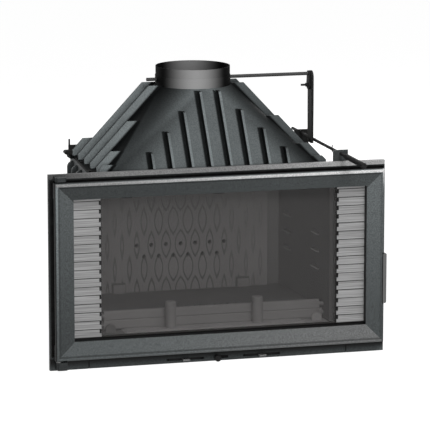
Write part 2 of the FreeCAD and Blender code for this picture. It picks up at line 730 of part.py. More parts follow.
# Hood: a rectangle-to-round shell with fins on its front and sides
def rectangle_wire(half, y0, y1, radius, z):
    edges = []
    corners = [(half - radius, y0 + radius, -90), (half - radius, y1 - radius, 0),
               (-half + radius, y1 - radius, 90), (-half + radius, y0 + radius, 180)]
    starts = []
    for x, y, angle in corners:
        arc = [vec(x + radius * math.cos(math.radians(a)), y + radius * math.sin(math.radians(a)), z)
               for a in (angle, angle + 45, angle + 90)]
        starts.append(arc)
    for i, arc in enumerate(starts):
        before = starts[i - 1][2]
        edges.append(Part.LineSegment(before, arc[0]).toShape())
        edges.append(Part.Arc(*arc).toShape())
    return Part.Wire(edges)


def circle_wire(radius, y, z):
    edges = []
    for side in range(4):
        middle = -90 + 90 * side
        spans = ((middle - HOOD_FLAT_ANGLE, middle + HOOD_FLAT_ANGLE),
                 (middle + HOOD_FLAT_ANGLE, middle + 90 - HOOD_FLAT_ANGLE))
        for a0, a1 in spans:
            points = [vec(radius * math.cos(math.radians(a)), y + radius * math.sin(math.radians(a)), z)
                      for a in (a0, (a0 + a1) / 2, a1)]
            edges.append(Part.Arc(*points).toShape())
    return Part.Wire(edges)


def hood_loft(wall):
    base = rectangle_wire(hood_half - wall, hood_front + wall, hood_rear - wall,
                          HOOD_CORNER_RADIUS, hood_base - FLANGE_THICK)
    top = circle_wire(HOOD_TOP_RADIUS - wall, FLUE_DEPTH, hood_top)
    return Part.makeLoft([base, top], True, True)


def hood_share(z):
    return (z - hood_base + FLANGE_THICK) / (HOOD_RISE + FLANGE_THICK)


def hood_front_at(z):
    return hood_front + hood_share(z) * (FLUE_DEPTH - HOOD_TOP_RADIUS - hood_front)


def hood_side_at(z):
    return hood_half + hood_share(z) * (HOOD_TOP_RADIUS - hood_half)


def make_front_fin(x):
    run = FRONT_FIN_HALF_RUN - abs(x - FRONT_FIN_OFFSET)
    top = min(hood_base + FRONT_FIN_SLOPE * run, hood_top)
    foot = surround_top + FRONT_FIN_CLEAR
    run_y = FLUE_DEPTH - HOOD_TOP_RADIUS - hood_front
    rise = HOOD_RISE + FLANGE_THICK
    reach = FIN_REACH * math.hypot(rise, run_y) / rise
    x0 = x - FIN_THICK / 2
    section = [vec(x0, hood_front_at(foot) - reach, foot), vec(x0, hood_front_at(top) - reach, top),
               vec(x0, hood_front_at(top) + FIN_ROOT, top), vec(x0, hood_front_at(hood_base) + FIN_ROOT, hood_base),
               vec(x0, hood_front_at(hood_base), hood_base), vec(x0, plate_rear + FRONT_FIN_CLEAR, foot)]
    return prism(section, vec(FIN_THICK, 0, 0))


def side_fin_top(depth):
    """Fins end on the lines from the hood's corners to the collar; those by the flue top the hood."""
    if depth < FLUE_DEPTH:
        away = depth - hood_front - SIDE_FIN_BASE_REACH / 4
        run = FLUE_DEPTH - SIDE_FIN_EASE - hood_front - SIDE_FIN_BASE_REACH / 4
    else:
        away = hood_rear - HOOD_CORNER_RADIUS - depth
        run = hood_rear - HOOD_CORNER_RADIUS - FLUE_DEPTH - SIDE_FIN_EASE
    if abs(depth - FLUE_DEPTH) < SIDE_FIN_PITCH:
        return hood_top + SIDE_FIN_OVER_TOP
    return hood_base + away / run * HOOD_RISE


def make_side_fin(depth):
    top = side_fin_top(depth)
    y0 = depth - FIN_THICK / 2
    base_x = hood_side_at(hood_base)
    knee = hood_base + SIDE_FIN_TOP_REACH - SIDE_FIN_BASE_REACH
    section = [vec(base_x - FIN_ROOT, y0, hood_base), vec(base_x + SIDE_FIN_BASE_REACH, y0, hood_base),
               vec(hood_side_at(knee) + SIDE_FIN_TOP_REACH, y0, knee),
               vec(hood_side_at(top) + SIDE_FIN_TOP_REACH, y0, top), vec(hood_side_at(top) - FIN_ROOT, y0, top)]
    return prism(section, vec(0, FIN_THICK, 0))


def make_flange():
    plate = tapered(0, plate_rear, body_rear, body_top, hood_base)
    inner = body_half(rear_bracket_depth) - WALL
    half = EAR_LENGTH / 2
    y0 = rear_bracket_depth - half
    y1 = rear_bracket_depth + half
    right = box(inner, rod_x + BRACKET_WIDTH / 2, y0, y1, body_top, hood_base)
    left = box(-left_bracket_span()[1], -inner, y0, y1, body_top, hood_base)
    return fuse([plate, right, left])


def make_hood():
    fins = []
    for i in range(FRONT_FIN_COUNT):
        fins.append(make_front_fin(FRONT_FIN_OFFSET + (i - (FRONT_FIN_COUNT - 1) / 2) * FRONT_FIN_PITCH))
    for depth in [CORNER_FIN_DEPTH] + side_rib_depths():
        fin = make_side_fin(depth)
        fins.extend([fin, mirrored(fin)])
    cast = fuse([hood_loft(0), make_flange()] + fins)
    flue_axis = vec(0, FLUE_DEPTH, hood_top)
    cuts = [hood_loft(HOOD_WALL), rod(flue_radius + LOOSE, flue_axis, vec(0, FLUE_DEPTH, collar_top))]
    for x, y in hood_bolt_places():
        cuts.append(rod(BOLT_RADIUS + SEAT, vec(x, y, body_top), vec(x, y, hood_base)))
    for x, y in rear_bracket_screws():
        cuts.append(rod(BRACKET_SCREW_RADIUS + SEAT, vec(x, y, body_top), vec(x, y, hood_base)))
    return cast.cut(Part.makeCompound(cuts))


def hood_bolt_places():
    depth = (plate_rear + body_rear) / 2
    places = []
    for offset in (-1.5, 0.5):
        y = depth + offset * SIDE_FIN_PITCH
        x = body_half(y, WALL / 2)
        places.extend([(-x, y), (x, y)])
    return places


# Flue collar with a spigot that the pipe slips over, damper and its shaft
def make_collar():
    foot = rod(flue_radius, vec(0, FLUE_DEPTH, hood_top), vec(0, FLUE_DEPTH, collar_top - SPIGOT_LENGTH))
    bore = rod(flue_radius - COLLAR_WALL, vec(0, FLUE_DEPTH, hood_top), vec(0, FLUE_DEPTH, collar_top))
    shoulder = vec(0, FLUE_DEPTH, collar_top - SPIGOT_LENGTH)
    spigot = rod(flue_radius - SPIGOT_PLAY, shoulder, vec(0, FLUE_DEPTH, collar_top))
    holes = rod(SHAFT_RADIUS + RUNNING, vec(-flue_radius, FLUE_DEPTH, shaft_height),
                vec(flue_radius, FLUE_DEPTH, shaft_height))
    return fuse([foot, spigot]).cut(bore).cut(holes)


def damper_radius():
    return flue_radius - COLLAR_WALL - DAMPER_PLAY


def at_rest_angle(shape):
    return turned(shape, vec(0, FLUE_DEPTH, shaft_height), vec(1, 0, 0), -DAMPER_REST_ANGLE)


def damper_screw_places():
    half = DAMPER_SCREW_SPACING / 2
    return (-half, half)


def make_damper_shaft():
    end = lever_right + SHAFT_END
    shaft = rod(SHAFT_RADIUS, vec(-SHAFT_LEFT_END, FLUE_DEPTH, shaft_height), vec(end, FLUE_DEPTH, shaft_height))
    radius = damper_radius() + DAMPER_PLAY / 2
    flat = box(-radius, radius, FLUE_DEPTH - SHAFT_RADIUS, FLUE_DEPTH + SHAFT_RADIUS,
               shaft_height, shaft_height + SHAFT_RADIUS)
    holes = [rod(DAMPER_SCREW_RADIUS + RUNNING, vec(x, FLUE_DEPTH, shaft_height - SHAFT_RADIUS),
                 vec(x, FLUE_DEPTH, shaft_height)) for x in damper_screw_places()]
    return at_rest_angle(shaft.cut(flat).cut(Part.makeCompound(holes)))


def make_damper_plate():
    plate = rod(damper_radius(), vec(0, FLUE_DEPTH, shaft_height), vec(0, FLUE_DEPTH, shaft_height + DAMPER_THICK))
    holes = [rod(DAMPER_SCREW_RADIUS + RUNNING, vec(x, FLUE_DEPTH, shaft_height),
                 vec(x, FLUE_DEPTH, shaft_height + DAMPER_THICK)) for x in damper_screw_places()]
    return at_rest_angle(plate.cut(Part.makeCompound(holes)))


def make_damper_screws():
    base = shaft_height + DAMPER_THICK
    screws = [screw(vec(x, FLUE_DEPTH, base), vec(0, 0, -1), DAMPER_SCREW_RADIUS,
                    DAMPER_THICK + SHAFT_RADIUS / 2, DAMPER_HEAD_RADIUS, DAMPER_HEAD_HEIGHT)
              for x in damper_screw_places()]
    return at_rest_angle(Part.makeCompound(screws))


# Lever: a crank plate on the shaft, a flat bar with an open slot and the bolt that clamps them
def across(radius, x0, x1, z, depth=FLUE_DEPTH):
    """A round bar along X at a height, by default in the plane of the damper's shaft."""
    return rod(radius, vec(x0, depth, z), vec(x1, depth, z))


def make_crank():
    bolt_z = shaft_height - CLAMP_BOLT_DROP
    eye = across(CRANK_EYE_RADIUS, crank_left, lever_left, shaft_height)
    foot = across(CRANK_FOOT_RADIUS, crank_left, lever_left, bolt_z)
    sides = [vec(crank_left, FLUE_DEPTH - CRANK_EYE_RADIUS, shaft_height),
             vec(crank_left, FLUE_DEPTH + CRANK_EYE_RADIUS, shaft_height),
             vec(crank_left, FLUE_DEPTH + CRANK_FOOT_RADIUS, bolt_z),
             vec(crank_left, FLUE_DEPTH - CRANK_FOOT_RADIUS, bolt_z)]
    plate = fuse([eye, foot, prism(sides, vec(CRANK_THICK, 0, 0))])
    hole = across(SHAFT_RADIUS + RUNNING, crank_left, lever_left, shaft_height)
    bolt_hole = across(CLAMP_BOLT_RADIUS + RUNNING, crank_left, lever_left, bolt_z)
    return plate.cut(hole).cut(bolt_hole)


def make_lever():
    half = LEVER_DEPTH / 2
    top = shaft_height + LEVER_OVER_SHAFT
    bottom = rod_height - LEVER_UNDER_ROD
    bar = box(lever_left, lever_right, FLUE_DEPTH - half, FLUE_DEPTH + half, bottom, top - half)
    bar = fuse([bar, across(half, lever_left, lever_right, top - half)])
    slot_half = DRIVE_PIN_RADIUS + DRIVE_PIN_PLAY
    slot = box(lever_left, lever_right, FLUE_DEPTH - slot_half, FLUE_DEPTH + slot_half, bottom, rod_height)
    arch = across(slot_half, lever_left, lever_right, rod_height)
    hole = across(SHAFT_RADIUS + RUNNING, lever_left, lever_right, shaft_height)
    bolt_hole = across(CLAMP_BOLT_RADIUS + RUNNING, lever_left, lever_right, shaft_height - CLAMP_BOLT_DROP)
    return bar.cut(slot).cut(arch).cut(hole).cut(bolt_hole)


def make_clamp_bolt():
    z = shaft_height - CLAMP_BOLT_DROP
    nut_left = crank_left - CLAMP_NUT_HEIGHT
    head = across(CLAMP_HEAD_RADIUS, lever_right, lever_right + CLAMP_HEAD_HEIGHT, z)
    shank = across(CLAMP_BOLT_RADIUS, nut_left - CLAMP_TAIL, lever_right, z)
    nut = across(CLAMP_HEAD_RADIUS, nut_left, crank_left, z)
    return fuse([head, shank, nut])


# Push rod with its grip, stop pin and the pin that moves the lever
def make_push_rod():
    front = -ROD_FRONT_REACH + GRIP_TIP
    bar = rod(ROD_RADIUS, vec(rod_x, front, rod_height), vec(rod_x, ROD_REAR_DEPTH, rod_height))
    hole = rod(SPLIT_PIN_RADIUS + RUNNING, vec(rod_x, SPLIT_PIN_DEPTH, rod_height - ROD_RADIUS),
               vec(rod_x, SPLIT_PIN_DEPTH, rod_height + ROD_RADIUS))
    drive_hole = across(DRIVE_PIN_RADIUS + RUNNING, rod_x - ROD_RADIUS, rod_x + ROD_RADIUS, rod_height)
    return bar.cut(hole).cut(drive_hole)


def make_grip():
    start = vec(rod_x, -ROD_FRONT_REACH, rod_height)
    end = vec(rod_x, grip_rear, rod_height)
    sleeve = rod(GRIP_RADIUS, start, end)
    front = [e for e in sleeve.Edges if e.BoundBox.YMax < -ROD_FRONT_REACH + GRIP_TIP]
    sleeve = sleeve.makeFillet(GRIP_RADIUS / 2, front)
    bore = rod(ROD_RADIUS + RUNNING, vec(rod_x, -ROD_FRONT_REACH + GRIP_TIP, rod_height), end)
    return sleeve.cut(bore)


def make_split_pin():
    low = vec(rod_x, SPLIT_PIN_DEPTH, rod_height - SPLIT_PIN_DOWN)
    high = vec(rod_x, SPLIT_PIN_DEPTH, rod_height + SPLIT_PIN_UP)
    return rod(SPLIT_PIN_RADIUS, low, high)


def make_drive_pin():
    head_right = lever_left - LEVER_ROD_GAP
    head = across(DRIVE_PIN_HEAD_RADIUS, head_right - DRIVE_PIN_HEAD_HEIGHT, head_right, rod_height)
    shank = across(DRIVE_PIN_RADIUS, head_right, rod_x + ROD_RADIUS + LEVER_ROD_GAP, rod_height)
    return fuse([head, shank])


# Brackets that guide the rod, and the one at the left rear
def front_bracket_screws():
    width = bracket_outer - bracket_inner
    return [(bracket_inner + share * width, bracket_low + width / 4) for share in (0.25, 0.75)]


def make_front_bracket():
    x0 = rod_x - BRACKET_WIDTH / 2
    x1 = rod_x + BRACKET_WIDTH / 2
    top = rod_height + BRACKET_OVER_ROD
    step = hood_base + LOOSE
    outline = [vec(x0, plate_rear, top), vec(x0, plate_rear, step), vec(bracket_inner, plate_rear, step),
               vec(bracket_inner, plate_rear, bracket_low), vec(bracket_outer, plate_rear, bracket_low),
               vec(bracket_outer, plate_rear, step), vec(x1, plate_rear, surround_top), vec(x1, plate_rear, top)]
    plate = prism(outline, vec(0, BRACKET_THICK, 0))
    cuts = [rod(ROD_RADIUS + RUNNING, vec(rod_x, plate_rear, rod_height),
                vec(rod_x, plate_rear + BRACKET_THICK, rod_height))]
    for x, z in front_bracket_screws():
        cuts.append(rod(BRACKET_SCREW_RADIUS + SEAT, vec(x, plate_rear, z), vec(x, plate_rear + BRACKET_THICK, z)))
    return plate.cut(Part.makeCompound(cuts))


def left_bracket_span():
    """Distances of the left bracket's two edges from the middle plane."""
    middle = BODY_WIDTH_REAR / 2 + LEFT_BRACKET_OUT
    return middle - LEFT_BRACKET_WIDTH / 2, middle + LEFT_BRACKET_WIDTH / 2


def rear_bracket_screws():
    y = rear_bracket_depth + BRACKET_THICK / 2 + REAR_BRACKET_FOOT / 2
    return [(-sum(left_bracket_span()) / 2, y), (rod_x, y)]


def make_angle(x0, x1, top, screw_place):
    """An angle bracket on the flange: an upright plate across the depth and a foot behind it."""
    y0 = rear_bracket_depth - BRACKET_THICK / 2
    plate = box(x0, x1, y0, y0 + BRACKET_THICK, hood_base, top)
    foot = box(x0, x1, y0, y0 + BRACKET_THICK + REAR_BRACKET_FOOT, hood_base, hood_base + BRACKET_THICK)
    x, y = screw_place
    hole = rod(BRACKET_SCREW_RADIUS + SEAT, vec(x, y, hood_base), vec(x, y, hood_base + BRACKET_THICK))
    return fuse([plate, foot]).cut(hole)


def make_rear_bracket():
    half = BRACKET_WIDTH / 2
    angle = make_angle(rod_x - half, rod_x + half, rod_height + BRACKET_OVER_ROD, rear_bracket_screws()[1])
    y0 = rear_bracket_depth - BRACKET_THICK / 2
    hole = rod(ROD_RADIUS + RUNNING, vec(rod_x, y0, rod_height), vec(rod_x, y0 + BRACKET_THICK, rod_height))
    return angle.cut(hole)


def make_left_bracket():
    inner, outer = left_bracket_span()
    top = hood_base + LEFT_BRACKET_HEIGHT
    angle = make_angle(-outer, -inner, top, rear_bracket_screws()[0])
    y0 = rear_bracket_depth - BRACKET_THICK / 2
    pin_x = -outer + LUG_PIN_RADIUS
    pin = rod(LUG_PIN_RADIUS, vec(pin_x, rear_bracket_depth, top), vec(pin_x, rear_bracket_depth, top + LUG_PIN_HEIGHT))
    lug_z = hood_base + LUG_OVER_FLANGE
    lug_left = -outer - LUG_OVERHANG
    lug = box(lug_left, lug_left + LUG_WIDTH, y0 - LUG_DEPTH, y0, lug_z, lug_z + LUG_HEIGHT)
    edges = [e for e in lug.Edges if e.BoundBox.XMax < lug_left + SEAT and e.BoundBox.YLength > SEAT]
    lug = lug.makeChamfer(LUG_HEIGHT / 3, edges)
    return fuse([angle, pin, lug])


def make_bracket_screws():
    screws = []
    for x, y in rear_bracket_screws():
        screws.append(screw(vec(x, y, hood_base + BRACKET_THICK), vec(0, 0, -1), BRACKET_SCREW_RADIUS,
                            BRACKET_THICK + FLANGE_THICK, BRACKET_HEAD_RADIUS, BRACKET_HEAD_HEIGHT))
    for x, z in front_bracket_screws():
        screws.append(screw(vec(x, plate_rear + BRACKET_THICK, z), vec(0, -1, 0), BRACKET_SCREW_RADIUS,
                            BRACKET_THICK + FRONT_PLATE_THICK, BRACKET_HEAD_RADIUS, BRACKET_HEAD_HEIGHT))
    return Part.makeCompound(screws)


def make_hood_bolts():
    bolts = [screw(vec(x, y, hood_base), vec(0, 0, -1), BOLT_RADIUS, FLANGE_THICK + BOLT_GRIP,
                   BOLT_HEAD_RADIUS, BOLT_HEAD_HEIGHT) for x, y in hood_bolt_places()]
    return Part.makeCompound(bolts)


def cut_hood_bolt_holes(panel):
    holes = [rod(BOLT_RADIUS + SEAT, vec(x, y, body_top - BOLT_GRIP), vec(x, y, body_top))
             for x, y in hood_bolt_places()]
    return panel.cut(Part.makeCompound(holes))


# Door: bevelled frame with a rear rim, hinge knuckles and the handle's lugs
def make_door_frame():
    slab = box(-door_half, door_half, 0, DOOR_THICK, DOOR_SILL, door_top)
    front_edges = [e for e in slab.Edges if e.BoundBox.YMax < DOOR_THICK / 2]
    slab = slab.makeFillet(DOOR_EDGE_RADIUS, front_edges)
    slab = slab.cut(box(-inner_half, inner_half, 0, DOOR_THICK, inner_bottom, inner_top))
    slab = slab.cut(make_bevel())
    rim_inner = (rim_half - DOOR_RIM_WALL, rim_bottom + DOOR_RIM_WALL, rim_top - DOOR_RIM_WALL)
    rim = frame((rim_half, rim_bottom, rim_top), rim_inner, DOOR_THICK, rim_rear)
    back = frame(rim_inner, (inner_half, inner_bottom, inner_top), DOOR_THICK, return_rear)
    solids = [slab, rim, back]
    for z0 in (DOOR_SILL, door_top - HINGE_KNUCKLE_HEIGHT):
        solids.append(box(-door_half, -rim_half, DOOR_THICK, HINGE_KNUCKLE_DEPTH, z0, z0 + HINGE_KNUCKLE_HEIGHT))
    for z0 in handle_lug_heights():
        reach = HANDLE_AXIS_DEPTH + HANDLE_HUB_RADIUS
        solids.append(box(rim_half, handle_x + HANDLE_HUB_RADIUS, DOOR_THICK, reach, z0, z0 + HANDLE_LUG_HEIGHT))
    cuts = []
    for z0, z1 in ((DOOR_SILL, DOOR_SILL + HINGE_PIN_DEPTH + LOOSE), (door_top - HINGE_PIN_DEPTH - LOOSE, door_top)):
        cuts.append(rod(HINGE_PIN_RADIUS + RUNNING, vec(hinge_x, HINGE_AXIS_DEPTH, z0), vec(hinge_x, HINGE_AXIS_DEPTH, z1)))
    for z0 in handle_lug_heights():
        cuts.append(rod(HANDLE_PIN_RADIUS + RUNNING, vec(handle_x, HANDLE_AXIS_DEPTH, z0),
                        vec(handle_x, HANDLE_AXIS_DEPTH, z0 + HANDLE_LUG_HEIGHT)))
    half = HANDLE_LENGTH / 2 + HANDLE_NOTCH_PLAY
    notch_x = door_half + HANDLE_OVERHANG - HANDLE_WIDTH - HANDLE_NOTCH_PLAY
    cuts.append(box(notch_x, door_half + HANDLE_OVERHANG, 0, DOOR_THICK,
                    HANDLE_MIDDLE_HEIGHT - half, HANDLE_MIDDLE_HEIGHT + half))
    for side in (-1, 1):
        x0, x1, z0, z1 = slat_flange(side)
        cuts.append(box(x0 - SEAT, x1 + SEAT, return_rear - SLAT_SHEET, return_rear, z0 - SEAT, z1 + SEAT))
    for base, along in clip_places():
        cuts.append(Part.makeCylinder(CLIP_SCREW_RADIUS + SEAT, DOOR_RIM_WALL, base, along))
    return fuse(solids).cut(Part.makeCompound(cuts))


def make_bevel():
    """The wedge taken off the frame's front, so that its faces slope in towards the glass."""
    wires = []
    edge = DOOR_EDGE_RADIUS
    for half, z0, z1, depth in ((door_half - edge, DOOR_SILL + edge, door_top - edge, 0),
                                (inner_half, inner_bottom, inner_top, DOOR_DISH)):
        corners = [vec(-half, depth, z0), vec(half, depth, z0), vec(half, depth, z1), vec(-half, depth, z1)]
        wires.append(Part.makePolygon(corners + corners[:1]))
    return Part.makeLoft(wires, True, True)


def handle_lug_heights():
    half = HANDLE_HUB_HEIGHT / 2 + LOOSE
    return (HANDLE_MIDDLE_HEIGHT - half - HANDLE_LUG_HEIGHT, HANDLE_MIDDLE_HEIGHT + half)


def glass_outline(inset):
    half = rim_half - DOOR_RIM_WALL - GLASS_PLAY - inset
    low = rim_bottom + DOOR_RIM_WALL + GLASS_PLAY + inset
    high = rim_top - DOOR_RIM_WALL - GLASS_PLAY - inset
    return half, low, high


def make_glass():
    half, low, high = glass_outline(0)
    return box(-half, half, glass_front, glass_rear, low, high)


def make_gasket():
    return frame(glass_outline(0), glass_outline(GASKET_WIDTH), return_rear, glass_front)


def clip_places():
    """Screw places on the rim's inner faces, with the direction into the rim."""
    half = rim_half - DOOR_RIM_WALL
    low = rim_bottom + DOOR_RIM_WALL
    high = rim_top - DOOR_RIM_WALL
    depth = glass_rear + CLIP_THICK + CLIP_RISE / 2
    places = []
    for share in (-0.6, 0.0, 0.6):
        places.append((vec(share * half, depth, low), vec(0, 0, -1)))
        places.append((vec(share * half, depth, high), vec(0, 0, 1)))
    middle = (low + high) / 2
    places.append((vec(-half, depth, middle), vec(-1, 0, 0)))
    places.append((vec(half, depth, middle), vec(1, 0, 0)))
    return places


def make_clip(base, along):
    """A bent clip: one leg along the rim, the other on the back of the glass."""
    across = along.cross(vec(0, 1, 0))
    inward = along.negative()
    start = base.sub(across.multiply(CLIP_LENGTH / 2))
    across = along.cross(vec(0, 1, 0)).multiply(CLIP_LENGTH)
    low = glass_rear
    high = glass_rear + CLIP_THICK + CLIP_RISE
    outline = []
    for reach, depth in ((0, low), (CLIP_REACH, low), (CLIP_REACH, low + CLIP_THICK),
                         (CLIP_THICK, low + CLIP_THICK), (CLIP_THICK, high), (0, high)):
        point = start.add(FreeCAD.Vector(inward).multiply(reach))
        outline.append(vec(point.x, depth, point.z))
    clip = prism(outline, across)
    hole = Part.makeCylinder(CLIP_SCREW_RADIUS + SEAT, CLIP_THICK, base, inward)
    return clip.cut(hole)


def make_clips():
    return Part.makeCompound([make_clip(base, along) for base, along in clip_places()])


def make_clip_screws():
    screws = []
    for base, along in clip_places():
        under_head = base.sub(FreeCAD.Vector(along).multiply(CLIP_THICK))
        screws.append(screw(under_head, along, CLIP_SCREW_RADIUS, CLIP_THICK + DOOR_RIM_WALL,
                            CLIP_HEAD_RADIUS, CLIP_HEAD_HEIGHT))
    return Part.makeCompound(screws)


def make_rope_seal():
    outer = (rim_half, rim_bottom, rim_top)
    inner = (rim_half - DOOR_SEAL_WIDTH, rim_bottom + DOOR_SEAL_WIDTH, rim_top - DOOR_SEAL_WIDTH)
    return frame(outer, inner, rim_rear, plate_front)


# Decor panels: slats pressed from one sheet, held behind the frame's inner edge
def slat_flange(side):
    outer = glass_outline(GLASS_PLAY)[0]
    inner = inner_half - SLAT_PANEL_WIDTH
    z0 = inner_bottom - GASKET_WIDTH / 2
    z1 = inner_top + GASKET_WIDTH / 2
    return (inner, outer, z0, z1) if side > 0 else (-outer, -inner, z0, z1)


def make_slat_panel():
    """Each slat has a long lower half and a shorter upper half, over a groove."""
    inner, outer, z0, z1 = slat_flange(1)
    edge = inner_half - LOOSE
    high = inner_top - LOOSE
    face = return_rear - SLAT_SHEET
    front = face - SLAT_RISE
    solids = [box(inner, outer, face, return_rear, z0, z1)]
    bottom = inner_bottom + SLAT_FIRST_GAP
    while bottom + SLAT_GROOVE + SLAT_SHEET < high:
        top = min(bottom + SLAT_PITCH, high)
        middle = min(bottom + SLAT_GROOVE + SLAT_LOWER_HEIGHT, top)
        solids.append(box(inner, edge, front, face, bottom + SLAT_GROOVE, middle))
        if middle < top:
            solids.append(box(inner + SLAT_UPPER_SHORTER, edge, front + SLAT_UPPER_STEP, face, middle, top))
        bottom += SLAT_PITCH
    return fuse(solids)


# Hinges
def make_hinge_bracket(z0, z1):
    half = HINGE_BRACKET_WIDTH / 2
    middle = hinge_x + half - HINGE_AXIS_INSET + SURROUND_MARGIN / 2
    block = box(middle - half, middle + half, HINGE_BRACKET_FRONT, DOOR_PROUD, z0, z1)
    uprights = [e for e in block.Edges if e.BoundBox.ZLength > SEAT and e.BoundBox.YMax < DOOR_PROUD / 2]
    block = block.makeChamfer(HINGE_PIN_RADIUS, uprights)
    return block.cut(rod(HINGE_PIN_RADIUS + RUNNING, vec(hinge_x, HINGE_AXIS_DEPTH, z0), vec(hinge_x, HINGE_AXIS_DEPTH, z1)))


def make_hinges():
    upper = door_top + HINGE_GAP
    lower = DOOR_SILL - HINGE_GAP
    nodes["hinge_bracket_upper"] = make_hinge_bracket(upper, upper + HINGE_UPPER_HEIGHT)
    nodes["hinge_bracket_lower"] = make_hinge_bracket(lower - HINGE_LOWER_HEIGHT, lower)
    upper_pin = rod(HINGE_PIN_RADIUS, vec(hinge_x, HINGE_AXIS_DEPTH, door_top - HINGE_PIN_DEPTH),
                    vec(hinge_x, HINGE_AXIS_DEPTH, upper + HINGE_UPPER_HEIGHT))
    lower_pin = rod(HINGE_PIN_RADIUS, vec(hinge_x, HINGE_AXIS_DEPTH, lower - HINGE_LOWER_HEIGHT),
                    vec(hinge_x, HINGE_AXIS_DEPTH, DOOR_SILL + HINGE_PIN_DEPTH))
    nodes["hinge_pin_upper"] = upper_pin
    nodes["hinge_pin_lower"] = lower_pin
    washer = rod(HINGE_WASHER_RADIUS, vec(hinge_x, HINGE_AXIS_DEPTH, lower), vec(hinge_x, HINGE_AXIS_DEPTH, DOOR_SILL))
    bore = rod(HINGE_PIN_RADIUS + RUNNING, vec(hinge_x, HINGE_AXIS_DEPTH, lower), vec(hinge_x, HINGE_AXIS_DEPTH, DOOR_SILL))
    nodes["hinge_washer"] = washer.cut(bore)


# Handle: a grip in a notch of the door's edge, turning on an upright pin, with the latch behind
def make_handle():
    x1 = door_half + HANDLE_OVERHANG
    x0 = x1 - HANDLE_WIDTH
    y0 = -HANDLE_PROUD
    y1 = y0 + HANDLE_DEPTH
    half = HANDLE_LENGTH / 2
    grip = box(x0, x1, y0, y1, HANDLE_MIDDLE_HEIGHT - half, HANDLE_MIDDLE_HEIGHT + half)
    ends = [e for e in grip.Edges if e.BoundBox.YLength > SEAT and e.BoundBox.XLength < SEAT]
    grip = grip.makeFillet(HANDLE_WIDTH / 2 - SEAT, ends)
    z0 = HANDLE_MIDDLE_HEIGHT - HANDLE_HUB_HEIGHT / 2
    z1 = HANDLE_MIDDLE_HEIGHT + HANDLE_HUB_HEIGHT / 2
    hub = rod(HANDLE_HUB_RADIUS, vec(handle_x, HANDLE_AXIS_DEPTH, z0), vec(handle_x, HANDLE_AXIS_DEPTH, z1))
    web_y = DOOR_THICK + HANDLE_NOTCH_PLAY
    web = [vec(handle_x, web_y + HANDLE_NOTCH_PLAY, z0), vec(x0, web_y, z0), vec(x0, y1 - HANDLE_WIDTH / 2, z0),
           vec(x1 - HANDLE_NOTCH_PLAY, y1 - HANDLE_WIDTH / 2, z0), vec(x1 - HANDLE_NOTCH_PLAY, web_y, z0),
           vec(handle_x + HANDLE_HUB_RADIUS / 2, HANDLE_AXIS_DEPTH + HANDLE_HUB_RADIUS / 2, z0)]
    latch_end = plate_front - STRIKE_THICK - STRIKE_GAP
    latch_x = handle_x - LATCH_THICK / 3
    latch = box(latch_x, latch_x + LATCH_THICK, HANDLE_AXIS_DEPTH, latch_end, z0, z1)
    body = fuse([grip, hub, prism(web, vec(0, 0, z1 - z0)), latch])
    return body.cut(rod(HANDLE_PIN_RADIUS + RUNNING, vec(handle_x, HANDLE_AXIS_DEPTH, z0), vec(handle_x, HANDLE_AXIS_DEPTH, z1)))


def make_handle_pin():
    low, high = handle_lug_heights()
    return rod(HANDLE_PIN_RADIUS, vec(handle_x, HANDLE_AXIS_DEPTH, low),
               vec(handle_x, HANDLE_AXIS_DEPTH, high + HANDLE_LUG_HEIGHT))


def make_strike():
    half = HANDLE_HUB_HEIGHT / 2
    return box(rim_half + LATCH_THICK, opening_half - LOOSE, plate_front - STRIKE_THICK, plate_front,
               HANDLE_MIDDLE_HEIGHT - half, HANDLE_MIDDLE_HEIGHT + half)


# Plinth panel: a shallow tray with slots, in which the air controls slide
def slider_centres():
    return [CONTROL_OFFSET + s * SLIDER_SPACING / 2 for s in (-1, 1)]


def plinth_front():
    return DOOR_PROUD + PLINTH_SETBACK


def make_plinth():
    half = PLINTH_WIDTH / 2
    y0 = plinth_front()
    tray = box(-half, half, y0, plate_front, 0, PLINTH_HEIGHT)
    tray = tray.cut(box(-half + PLINTH_THICK, half - PLINTH_THICK, y0 + PLINTH_THICK, plate_front,
                        PLINTH_THICK, PLINTH_HEIGHT - PLINTH_THICK))
    rail_z = PLINTH_THICK + LOOSE + SLIDER_PLATE_HEIGHT + LOOSE
    rail = box(-half + PLINTH_THICK, half - PLINTH_THICK, y0 + PLINTH_THICK,
               y0 + PLINTH_THICK + SLIDER_PLATE_THICK + LOOSE, rail_z, rail_z + RAIL_HEIGHT)
    cuts = []
    for centre in slider_centres():
        reach = SLIDER_TAB_WIDTH / 2 + SLIDER_TRAVEL + SLOT_SPARE
        high = SLIDER_TAB_HEIGHT / 2 + SLOT_PLAY
        cuts.append(box(centre - reach, centre + reach, y0, y0 + PLINTH_THICK, CONTROL_HEIGHT - high, CONTROL_HEIGHT + high))
    knob = CONTROL_OFFSET - KNOB_BEFORE_MIDDLE
    high = KNOB_STEM_RADIUS + SLOT_PLAY
    cuts.append(box(knob - high, knob + KNOB_TRAVEL + high, y0, y0 + PLINTH_THICK, CONTROL_HEIGHT - high, CONTROL_HEIGHT + high))
    return fuse([tray, rail]).cut(Part.makeCompound(cuts))


def slider_plate(x, length):
    y0 = plinth_front() + PLINTH_THICK + LOOSE / 2
    z0 = PLINTH_THICK + LOOSE
    return box(x - length / 2, x + length / 2, y0, y0 + SLIDER_PLATE_THICK, z0, z0 + SLIDER_PLATE_HEIGHT)


